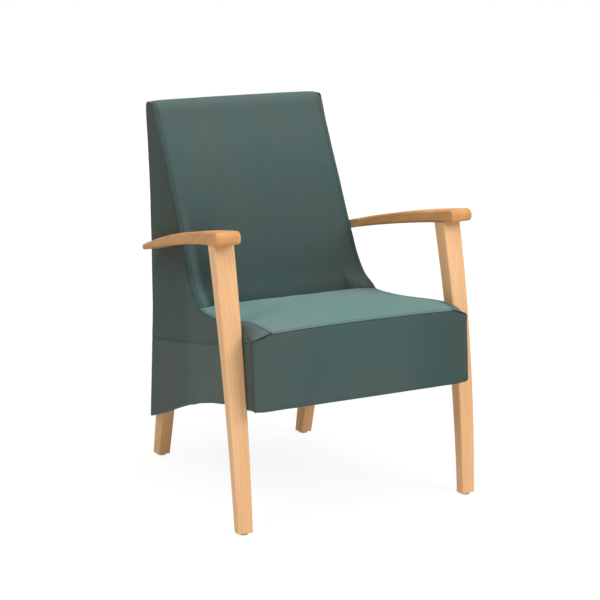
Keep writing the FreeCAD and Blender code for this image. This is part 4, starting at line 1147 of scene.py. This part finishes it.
@dataclass(frozen=True)
class ShotWeave:
    """Shot upholstery cloth of two thread colours and a soft sheen, with painted side colours and painted top
    light.

    Attributes:
        name: Material name.
        warp: Colour of the lengthwise threads on faces that look to the front.
        weft: Colour of the crosswise threads there.
        painted_side_warp: Painted colour of the lengthwise threads on faces that look to the side, browner as
            shot cloth looks from there and a little darker for the painted shade on the sides.
        painted_side_weft: Painted colour of the crosswise threads there, browner and a little darker in the
            same way.
        pitch: Distance between threads in metres.
        share: Share of the surface that the weft takes.
        lift: Painted light: how much paler the cloth is where it looks up.
    """

    name: str = "shot_weave"
    warp: Triple = (0.034, 0.090, 0.085)
    weft: Triple = (0.078, 0.086, 0.080)
    painted_side_warp: Triple = (0.053, 0.081, 0.068)
    painted_side_weft: Triple = (0.084, 0.081, 0.071)
    pitch: float = 0.0011
    share: float = 0.42
    lift: float = 0.3

    def threads(self, s: Shader) -> tuple[Socket, Socket]:
        """The plain weave.

        Args:
            s: The material's nodes.

        Returns:
            Which thread lies on top, and how high it stands.
        """
        cloth = s.mapped("UV")
        parts = s.add("ShaderNodeSeparateXYZ")
        s.join(cloth, parts.inputs[0])
        turn = math.pi / self.pitch
        wobble = s.noise(cloth, 260.0, 1.0)
        u = s.math("SINE", s.math("MULTIPLY_ADD", parts.outputs[0], turn, s.math("MULTIPLY", wobble, 1.6)))
        v = s.math("SINE", s.math("MULTIPLY_ADD", parts.outputs[1], turn, s.math("MULTIPLY", wobble, 1.3)))
        over = s.math("MULTIPLY", u, v)
        return s.spread(over, self.share - 0.72, self.share - 0.28, 1.0, 0.0), s.math("ABSOLUTE", over)

    def material(self) -> Material:
        """The finished material."""
        s = Shader(self.name)
        thread, height = self.threads(s)
        face, way = s.add("ShaderNodeNewGeometry"), s.add("ShaderNodeSeparateXYZ")
        s.join(face.outputs["Normal"], way.inputs[0])
        # Painted colour change and painted shade on faces that look to the side.
        painted_side_share = s.spread(s.math("ABSOLUTE", way.outputs[0]), 0.35, 0.95)
        # Painted light on faces that look up.
        painted_top_light = s.spread(way.outputs[2], 0.45, 0.98, 1.0, 1.0 + self.lift)
        drift = s.noise(s.mapped("Object"), 5.5, 2.0, 0.5)
        cloud = s.noise(s.mapped("Object"), 30.0, 3.0, 0.6)
        blend = s.math("ADD", thread, s.spread(drift, 0.38, 0.64, -0.20, 0.20))
        blend = s.math("ADD", blend, s.spread(cloud, 0.3, 0.7, -0.10, 0.10))
        heather = s.noise(s.mapped("Object"), 430.0, 2.0, 0.6)
        blend = s.math("ADD", blend, s.spread(heather, 0.3, 0.7, -0.30, 0.30))
        lengthwise = s.mix(painted_side_share, self.warp, self.painted_side_warp)
        crosswise = s.mix(painted_side_share, self.weft, self.painted_side_weft)
        colour = s.mix(blend, lengthwise, crosswise)
        slub_u = s.noise(s.mapped("UV", scale=(900.0, 24.0, 1.0)), 1.0, 2.0)
        slub_v = s.noise(s.mapped("UV", scale=(24.0, 900.0, 1.0)), 1.0, 2.0)
        streak = s.math("ADD", s.spread(slub_u, 0.3, 0.7, 0.90, 1.08),
                        s.spread(slub_v, 0.3, 0.7, -0.07, 0.07))
        # Painted shade in the seams and stitch channels darkens the colour.
        seam = s.add("ShaderNodeAttribute", attribute_name="seam")
        seam_shade_factor = s.spread(seam.outputs["Fac"], 0.0, 1.0, 1.0, 0.16)
        tone = s.math("MULTIPLY", s.math("MULTIPLY", streak, painted_top_light), seam_shade_factor)
        # The panels' painted light and shade by place scales the colour.
        place = s.add("ShaderNodeAttribute", attribute_name="tone")
        tone = s.math("MULTIPLY", tone, place.outputs["Fac"])
        shade = s.add("ShaderNodeMix", data_type="RGBA", blend_type="MULTIPLY")
        shade.inputs[0].default_value = 1.0
        s.join(colour, shade.inputs[6])
        s.join(tone, shade.inputs[7])
        s.paint(shade.outputs[2], s.spread(height, 0.0, 1.0, 0.9, 0.7))
        s.shine(Sheen_Weight=0.55, Sheen_Roughness=0.26, Sheen_Tint=(0.55, 0.95, 0.92, 1.0),
                Specular_IOR_Level=0.2)
        s.bump(s.math("ADD", height, s.math("MULTIPLY", slub_u, 0.5)), 0.35, 0.00022)
        return s.material


@dataclass(frozen=True)
class Beech:
    """Steamed beech under satin lacquer: straight pores, short ray flecks and faint growth lines.

    Attributes:
        name: Material name.
        pale: Colour of the early wood.
        tan: Colour of the late wood.
        fleck: Colour of the ray flecks.
        grain: How the grain lies.
        lines: Strength of the growth lines.
        pitch: Distance between growth lines in metres.
        matt: Roughness of the lacquer.
        gleam: How strongly the lacquer reflects.
    """

    name: str
    pale: Triple = (0.78, 0.450, 0.215)
    tan: Triple = (0.66, 0.350, 0.150)
    fleck: Triple = (0.46, 0.222, 0.086)
    grain: Grain = Grain.LEG
    lines: float = 0.5
    pitch: float = 0.009
    matt: float = 0.42
    gleam: float = 0.12

    def material(self) -> Material:
        """The finished material."""
        s = Shader(self.name)
        turn = self.grain.value
        wide = s.noise(s.mapped("Object", turn, (34.0, 34.0, 2.2)), 1.0, 4.0, 0.6)
        fine = s.noise(s.mapped("Object", turn, (620.0, 620.0, 16.0)), 1.0, 3.0, 0.6)
        rate = 0.628 / self.pitch
        bent = s.texture("Wave", s.mapped("Object", turn, (rate, rate, rate / 50.0)), wave_type="BANDS",
                         bands_direction="DIAGONAL", Scale=1.0, Distortion=4.0, Detail=2.0, Detail_Scale=0.6)
        ring = s.spread(bent.outputs["Fac"], 0.40, 0.95, 0.0, self.lines)
        dash = s.texture("Voronoi", s.mapped("Object", turn, (880.0, 880.0, 210.0)), feature="F1", Scale=1.0,
                         Randomness=1.0)
        speck = s.spread(dash.outputs["Distance"], 0.10, 0.22, 0.55, 0.0)
        base = s.mix(s.spread(wide, 0.35, 0.7), self.pale, self.tan)
        grained = s.mix(s.math("MULTIPLY", s.spread(fine, 0.42, 0.75), 0.40), base, self.tan)
        ringed = s.mix(ring, grained, tuple(0.6 * a + 0.4 * b for a, b in zip(self.tan, self.fleck)))
        colour = s.mix(speck, ringed, self.fleck)
        rough = s.spread(fine, 0.3, 0.8, self.matt, self.matt + 0.13)
        s.paint(colour, s.math("ADD", rough, s.math("MULTIPLY", speck, 0.1)))
        s.shine(Specular_IOR_Level=self.gleam)
        s.bump(s.math("SUBTRACT", fine, speck), 0.10, 0.0002)
        return s.material


@dataclass(frozen=True)
class RawTimber:
    """Plain sawn frame timber and plywood, unlacquered."""

    name: str = "frame_timber"
    pale: Triple = (0.60, 0.44, 0.27)
    dark: Triple = (0.42, 0.28, 0.15)

    def material(self) -> Material:
        """The finished material."""
        s = Shader(self.name)
        fibre = s.noise(s.mapped("Object", scale=(9.0, 160.0, 160.0)), 1.0, 4.0)
        ply = s.texture("Wave", s.mapped("Object"), bands_direction="X", Scale=260.0, Distortion=0.6)
        share = s.math("MULTIPLY_ADD", ply.outputs["Fac"], 0.25, s.spread(fibre, 0.35, 0.7, 0.0, 0.7))
        s.paint(s.mix(share, self.pale, self.dark), s.spread(fibre, 0.3, 0.7, 0.62, 0.8))
        s.bump(fibre, 0.2, 0.0004)
        return s.material


@dataclass(frozen=True)
class Webbing:
    """Elastic seat webbing: ribbed along its length, with a stripe."""

    name: str = "webbing"
    dark: Triple = (0.055, 0.048, 0.042)
    pale: Triple = (0.34, 0.28, 0.20)

    def material(self) -> Material:
        """The finished material."""
        s = Shader(self.name)
        rib = s.texture("Wave", s.mapped("Object"), bands_direction="DIAGONAL", Scale=420.0,
                        Distortion=0.3).outputs["Fac"]
        weave = s.noise(s.mapped("Object"), 900.0, 2.0)
        colour = s.mix(s.math("MULTIPLY", rib, weave), self.dark, self.pale)
        s.paint(colour, s.spread(weave, 0.3, 0.7, 0.7, 0.9))
        s.bump(rib, 0.4, 0.0004)
        return s.material


@dataclass(frozen=True)
class DustCloth:
    """Black pressed fibre cloth that closes the underside."""

    name: str = "dust_cloth"
    dark: Triple = (0.012, 0.012, 0.013)
    pale: Triple = (0.045, 0.045, 0.048)

    def material(self) -> Material:
        """The finished material."""
        s = Shader(self.name)
        fibre = s.noise(s.mapped("Object"), 700.0, 5.0, 0.7)
        dots = s.texture("Voronoi", s.mapped("Object"), Scale=420.0).outputs["Distance"]
        colour = s.mix(s.spread(fibre, 0.35, 0.75), self.dark, self.pale)
        s.paint(colour, s.spread(dots, 0.0, 0.6, 0.6, 0.9))
        s.bump(s.math("ADD", fibre, dots), 0.3, 0.0003)
        return s.material


@dataclass(frozen=True)
class Speckled:
    """Finish of two colours in fine clouds, by default zinc plate with a faint yellow cast.

    Attributes:
        name: Material name.
        first: Colour of the ground.
        second: Colour of the clouds.
        scale: Scale of the clouds.
        grit: Roughness of the clouds' octaves.
        cover: Range of the noise over which the second colour sets in.
        rough: Range of the surface's roughness.
        relief: Strength of the bump.
        metal: 1 for metal, else 0.
    """

    name: str = "zinc_steel"
    first: Triple = (0.62, 0.61, 0.57)
    second: Triple = (0.42, 0.41, 0.38)
    scale: float = 380.0
    grit: float = 0.55
    cover: tuple[float, float] = (0.35, 0.7)
    rough: tuple[float, float] = (0.28, 0.46)
    relief: float = 0.08
    metal: float = 1.0

    def material(self) -> Material:
        """The finished material."""
        s = Shader(self.name)
        cloud = s.noise(s.mapped("Object"), self.scale, 4.0, self.grit)
        colour = s.mix(s.spread(cloud, *self.cover), self.first, self.second)
        s.paint(colour, s.spread(cloud, 0.3, 0.7, *self.rough))
        s.shine(Metallic=self.metal)
        s.bump(cloud, self.relief, 0.0002)
        return s.material


@dataclass(frozen=True)
class Thread:
    """Twisted sewing thread, a little deeper than the cloth."""

    name: str = "sewing_thread"
    deep: Triple = (0.030, 0.052, 0.050)
    lit: Triple = (0.085, 0.125, 0.118)

    def material(self) -> Material:
        """The finished material."""
        s = Shader(self.name)
        ply = s.texture("Wave", s.mapped("Object"), bands_direction="DIAGONAL", Scale=900.0).outputs["Fac"]
        s.paint(s.mix(ply, self.deep, self.lit), s.spread(ply, 0.0, 1.0, 0.6, 0.45))
        s.shine(Sheen_Weight=0.2)
        s.bump(ply, 0.3, 0.0002)
        return s.material


@dataclass
class Topstitch:
    """Rows of stitches beside the seams, laid along their lines by a node tree.

    Attributes:
        pitch: Distance from stitch to stitch in metres.
        length: Length of one stitch in metres.
        thickness: Thickness of the thread in metres.
        name: The piece's name.
        lift: How far the thread's middle stands out from the cloth, in millimetres.
    """

    pitch: float = 0.0046
    length: float = 0.0037
    thickness: float = 0.0008
    name: str = "topstitching"
    lift: float = 0.12

    def tree(self, material: Material) -> bpy.types.NodeTree:
        """Node tree that lays a stitch at every pitch along the lines.

        Args:
            material: The thread's material.

        Returns:
            The new tree.
        """
        tree = bpy.data.node_groups.new("stitch_rows", "GeometryNodeTree")
        face = tree.interface
        face.new_socket("Lines", in_out="INPUT", socket_type="NodeSocketGeometry")
        for word in ("Pitch", "Length", "Thickness"):
            face.new_socket(word, in_out="INPUT", socket_type="NodeSocketFloat")
        face.new_socket("Stitches", in_out="OUTPUT", socket_type="NodeSocketGeometry")
        add = tree.nodes.new
        start, end = add("NodeGroupInput"), add("NodeGroupOutput")
        curve, spaced = add("GeometryNodeMeshToCurve"), add("GeometryNodeResampleCurve")
        spaced.mode = "LENGTH"
        bead = add("GeometryNodeMeshIcoSphere")
        bead.inputs["Radius"].default_value = 0.5
        bead.inputs["Subdivisions"].default_value = 2
        size, lay = add("ShaderNodeCombineXYZ"), add("GeometryNodeInstanceOnPoints")
        tangent, up = add("GeometryNodeInputTangent"), add("GeometryNodeInputNamedAttribute")
        up.data_type = "FLOAT_VECTOR"
        up.inputs["Name"].default_value = "up"
        along, stand = add("FunctionNodeAlignRotationToVector"), add("FunctionNodeAlignRotationToVector")
        along.axis, stand.axis, stand.pivot_axis = "X", "Z", "X"
        real, paint = add("GeometryNodeRealizeInstances"), add("GeometryNodeSetMaterial")
        paint.inputs["Material"].default_value = material
        smooth = add("GeometryNodeSetShadeSmooth")
        links = (
            (start, "Lines", curve, "Mesh"), (curve, 0, spaced, "Curve"), (start, "Pitch", spaced, "Length"),
            (start, "Length", size, 0), (start, "Thickness", size, 1), (start, "Thickness", size, 2),
            (tangent, 0, along, "Vector"), (along, 0, stand, "Rotation"), (up, "Attribute", stand, "Vector"),
            (spaced, 0, lay, "Points"), (bead, "Mesh", lay, "Instance"), (stand, 0, lay, "Rotation"),
            (size, 0, lay, "Scale"), (lay, 0, real, 0), (real, 0, smooth, 0), (smooth, 0, paint, "Geometry"),
            (paint, 0, end, "Stitches"))
        for source, out, target, into in links:
            tree.links.new(source.outputs[out], target.inputs[into])
        return tree

    def build(self, panels: list[ClothPanel], material: Material) -> bpy.types.Object:
        """All the stitches of some panels as one plain mesh.

        Args:
            panels: Panels whose stitched borders are followed.
            material: The thread's material.

        Returns:
            The new object.
        """
        spots, ups, edges = [], [], []
        for panel in panels:
            for points, out in panel.stitch_lines():
                first = len(spots)
                lifted = (points + out * self.lift + [0.0, SEAT_FRONT_Y, 0.0]) * MM
                spots += lifted.tolist()
                ups += out.tolist()
                edges += [(first + k, first + k + 1) for k in range(len(points) - 1)]
        lines = bpy.data.meshes.new(self.name)
        lines.from_pydata(spots, edges, [])
        up = lines.attributes.new("up", "FLOAT_VECTOR", "POINT")
        up.data.foreach_set("vector", np.array(ups).ravel())
        piece = add_object(self.name, lines)
        tree = self.tree(material)
        rows = piece.modifiers.new("rows", "NODES")
        rows.node_group = tree
        sizes = {"Pitch": self.pitch, "Length": self.length, "Thickness": self.thickness}
        for item in tree.interface.items_tree:
            if item.in_out == "INPUT" and item.name in sizes:
                rows[item.identifier] = sizes[item.name]
        graph = bpy.context.evaluated_depsgraph_get()
        mesh = bpy.data.meshes.new_from_object(piece.evaluated_get(graph))
        piece.modifiers.remove(rows)
        piece.data = mesh
        return piece


@dataclass
class Upholstery:
    """All the sewn panels of the chair and their stitching."""

    form: BodyForm = field(default_factory=BodyForm)

    def panels(self) -> list[ClothPanel]:
        """The panels, in the order in which they are fitted."""
        form = self.form
        made: list[ClothPanel] = [
            SeatTop(form, "seat_top", ("seat_top_cover", "seat_foam"), thick=9.0),
            FrontBand(form, "front_band", ("front_band_cover", "front_pad"), fill=0.7),
            InsideBack(form, "inside_back", ("inside_back_cover", "back_foam"), thick=5.0, fill=0.8,
                       stitch_in=7.0, twin_gap=4.0),
            OutsideBack(form, "outside_back", ("outside_back_cover",), flip=True, fill=1.0)]
        for side in Side:
            end = side.word
            for kind, level in ((UpperSide, "upper"), (LowerSide, "lower")):
                made.append(kind(form, f"{level}_side_{end}", (f"{level}_side_cover_{end}",), thick=1.6,
                                 side=side, flip=side is Side.LEFT))
        return made

    def dress(self) -> None:
        """Builds every panel, gives it its cloth and fits it to the frame."""
        cloth = ShotWeave().material()
        sewn = self.panels()
        for panel in sewn:
            piece = panel.build()
            piece.data.materials.append(cloth)
            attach(piece, "root")
            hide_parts(*panel.stands_for)
            LOG.info("%s: %d faces", piece.name, len(piece.data.polygons))
        self.close_underside()
        rows = Topstitch().build(sewn, Thread().material())
        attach(rows, "root")
        LOG.info("%s: %d faces", rows.name, len(rows.data.polygons))

    def close_underside(self) -> None:
        """Stretches the black cloth across the underside and staples it."""
        under = UnderCloth(self.form, "under_cloth", thick=0.8, flip=True, step=14.0)
        piece = under.build()
        piece.data.materials.append(DustCloth().material())
        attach(piece, "root")
        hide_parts("underside_cloth")
        wire = Speckled("staple_wire").material()
        staples = Topstitch(0.038, 0.011, 0.0013, "staples").build([under], wire)
        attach(staples, "root")
        LOG.info("%s: %d faces", piece.name, len(piece.data.polygons))


FINISH_RULES = (
    ("armrest_*", "arm"), ("front_leg_left", "leg"), ("front_leg_right", "leg"), ("rear_leg_left", "rear"),
    ("rear_leg_right", "rear"), ("leg_bolt_plugs", "plug"), ("front_leg_bolts", "black"), ("*bolts", "steel"),
    ("*inserts", "steel"), ("*nails", "steel"), ("*webbing*", "webbing"), ("floor_glides", "glide"),
    ("*", "timber"))


@dataclass
class Joinery:
    """Timber, fasteners and inner frame, which keep their CAD shapes."""

    nodes: dict[str, bpy.types.Object]

    def finish_for(self, node: str) -> str:
        """Which finish a node takes.

        Args:
            node: The node's name.

        Returns:
            The finish's key.
        """
        return next(finish for pattern, finish in FINISH_RULES if fnmatchcase(node, pattern))

    def dress(self) -> None:
        """Gives each node its finish."""
        finishes = {
            "arm": Beech("beech_arm", (0.64, 0.345, 0.148), (0.50, 0.240, 0.086), grain=Grain.ARM, lines=0.6,
                         pitch=0.005, gleam=0.04),
            "leg": Beech("beech_leg", (0.79, 0.480, 0.255), (0.70, 0.395, 0.190), grain=Grain.LEG, lines=0.2),
            "rear": Beech("beech_rear", (0.80, 0.470, 0.235), (0.69, 0.375, 0.168), grain=Grain.REAR_LEG,
                          lines=0.3),
            "plug": Beech("beech_plug", pale=(0.80, 0.53, 0.30), grain=Grain.ACROSS, lines=0.2),
            "timber": RawTimber(), "webbing": Webbing(), "steel": Speckled(),
            # Dark oxide steel for the front leg bolts, made dark so that they read as the shade in the gap
            # beside the leg.
            "black": Speckled("black_steel", (0.05, 0.05, 0.05), (0.03, 0.03, 0.03)),
            "glide": Speckled("glide_plastic", (0.30, 0.30, 0.31), (0.46, 0.46, 0.46), 520.0, 0.65,
                              (0.5, 0.75), (0.42, 0.62), 0.12, 0.0)}
        made = {key: finish.material() for key, finish in finishes.items()}
        for name, piece in self.nodes.items():
            piece.data.materials.clear()
            piece.data.materials.append(made[self.finish_for(name)])
        LOG.info("%d nodes finished", len(self.nodes))


def seen_rays(tree: bpy.types.NodeTree) -> Socket:
    """Adds nodes that tell the rays that show the surround from those that light the chair.

    Args:
        tree: The tree to add to.

    Returns:
        A socket that is 1 for camera, see-through and mirror rays, else 0.
    """
    path = tree.nodes.new("ShaderNodeLightPath")
    seen = path.outputs["Is Camera Ray"]
    for kind in ("Is Transmission Ray", "Is Glossy Ray"):
        either = tree.nodes.new("ShaderNodeMath")
        either.operation = "MAXIMUM"
        tree.links.new(seen, either.inputs[0])
        tree.links.new(path.outputs[kind], either.inputs[1])
        seen = either.outputs[0]
    return seen


@dataclass
class Studio:
    """Camera, soft lights, pale floor and white surround."""

    azimuth: float = -28.804
    elevation: float = 12.549
    distance: float = 4.329
    target: Triple = (0.00308, -0.027, 0.43226)
    lens: float = 112.83
    lit_point: Triple = (0.0, 0.0, 0.45)

    def camera(self) -> None:
        """Sets the camera at the photograph's viewing angle."""
        az, el = math.radians(self.azimuth), math.radians(self.elevation)
        back = Vector((math.sin(az) * math.cos(el), -math.cos(az) * math.cos(el), math.sin(el)))
        data = bpy.data.cameras.new("camera")
        data.lens = self.lens
        data.sensor_width = 36.0
        data.clip_end = 50.0
        eye = add_object("camera", data)
        eye.location = Vector(self.target) + back * self.distance
        eye.rotation_mode = "QUATERNION"
        eye.rotation_quaternion = (-back).to_track_quat("-Z", "Y")
        bpy.context.scene.camera = eye

    def lamp(self, name: str, spot: Triple, size: float, power: float, warm: float = 0.0) -> None:
        """Adds a soft square lamp aimed at the chair.

        Args:
            name: The lamp's name.
            spot: Its place in metres.
            size: Its side in metres.
            power: Its power in watts.
            warm: How warm its colour is.
        """
        data = bpy.data.lights.new(name, "AREA")
        data.size = size
        data.energy = power
        data.color = (1.0, 1.0 - 0.06 * warm, 1.0 - 0.14 * warm)
        light = add_object(name, data)
        light.location = spot
        aim = Vector(self.lit_point) - Vector(spot)
        light.rotation_euler = aim.to_track_quat("-Z", "Y").to_euler()

    def surround(self) -> None:
        """White surround for the camera and for reflections, and soft grey light for the chair."""
        world = bpy.data.worlds.new("surround")
        bpy.context.scene.world = world
        world.use_nodes = True
        nodes, links = world.node_tree.nodes, world.node_tree.links
        glow, soft = nodes["Background"], nodes.new("ShaderNodeBackground")
        glow.inputs["Strength"].default_value = 1.0
        glow.inputs["Color"].default_value = (1.0, 1.0, 1.0, 1.0)
        soft.inputs["Strength"].default_value = 0.26
        soft.inputs["Color"].default_value = (0.96, 0.98, 1.0, 1.0)
        blend = nodes.new("ShaderNodeMixShader")
        links.new(seen_rays(world.node_tree), blend.inputs[0])
        links.new(soft.outputs[0], blend.inputs[1])
        links.new(glow.outputs[0], blend.inputs[2])
        links.new(blend.outputs[0], nodes["World Output"].inputs["Surface"])

    def floor(self) -> None:
        """Pale floor that keeps a faint shadow."""
        mesh = bpy.data.meshes.new("floor")
        reach = 6.0
        corners = [(x * reach, y * reach, FLOOR_Z) for x, y in ((-1, -1), (1, -1), (1, 1), (-1, 1))]
        mesh.from_pydata(corners, [], [(0, 1, 2, 3)])
        ground = add_object("floor", mesh)
        s = Shader("pale_floor")
        s.shine(Base_Color=(0.86, 0.86, 0.85, 1.0), Roughness=0.8)
        white = s.add("ShaderNodeEmission", Strength=1.08)
        white.inputs["Color"].default_value = (1.0, 1.0, 1.0, 1.0)
        blend = s.add("ShaderNodeMixShader")
        away = s.add("ShaderNodeVectorMath", operation="LENGTH")
        s.join(s.mapped("Object"), away.inputs[0])
        share = s.math("MULTIPLY", seen_rays(s.tree), s.spread(away.outputs["Value"], 0.75, 1.6, 0.84, 1.0))
        s.join(share, blend.inputs[0])
        s.join(s.surface.outputs[0], blend.inputs[1])
        s.join(white.outputs[0], blend.inputs[2])
        s.join(blend.outputs[0], s.tree.nodes["Material Output"].inputs["Surface"])
        mesh.materials.append(s.material)

    def build(self) -> None:
        """Sets up the whole studio."""
        self.camera()
        self.surround()
        self.floor()
        self.lamp("key", (1.5, -3.1, 2.7), 2.0, 94.0, 0.2)
        self.lamp("top", (0.1, -0.3, 3.4), 2.6, 66.0)
        self.lamp("fill", (-2.0, -0.9, 3.0), 1.0, 30.0)
        self.lamp("bounce", (-2.4, -1.3, 0.3), 1.0, 10.0)
        bpy.context.scene.view_settings.view_transform = "Standard"


def main() -> None:
    """Builds the chair's looks and the studio round it."""
    logging.basicConfig(level=logging.INFO, format="%(name)s %(message)s")
    Joinery(frame["nodes"]).dress()
    Upholstery().dress()
    Studio().build()


if __name__ == "__main__":
    main()
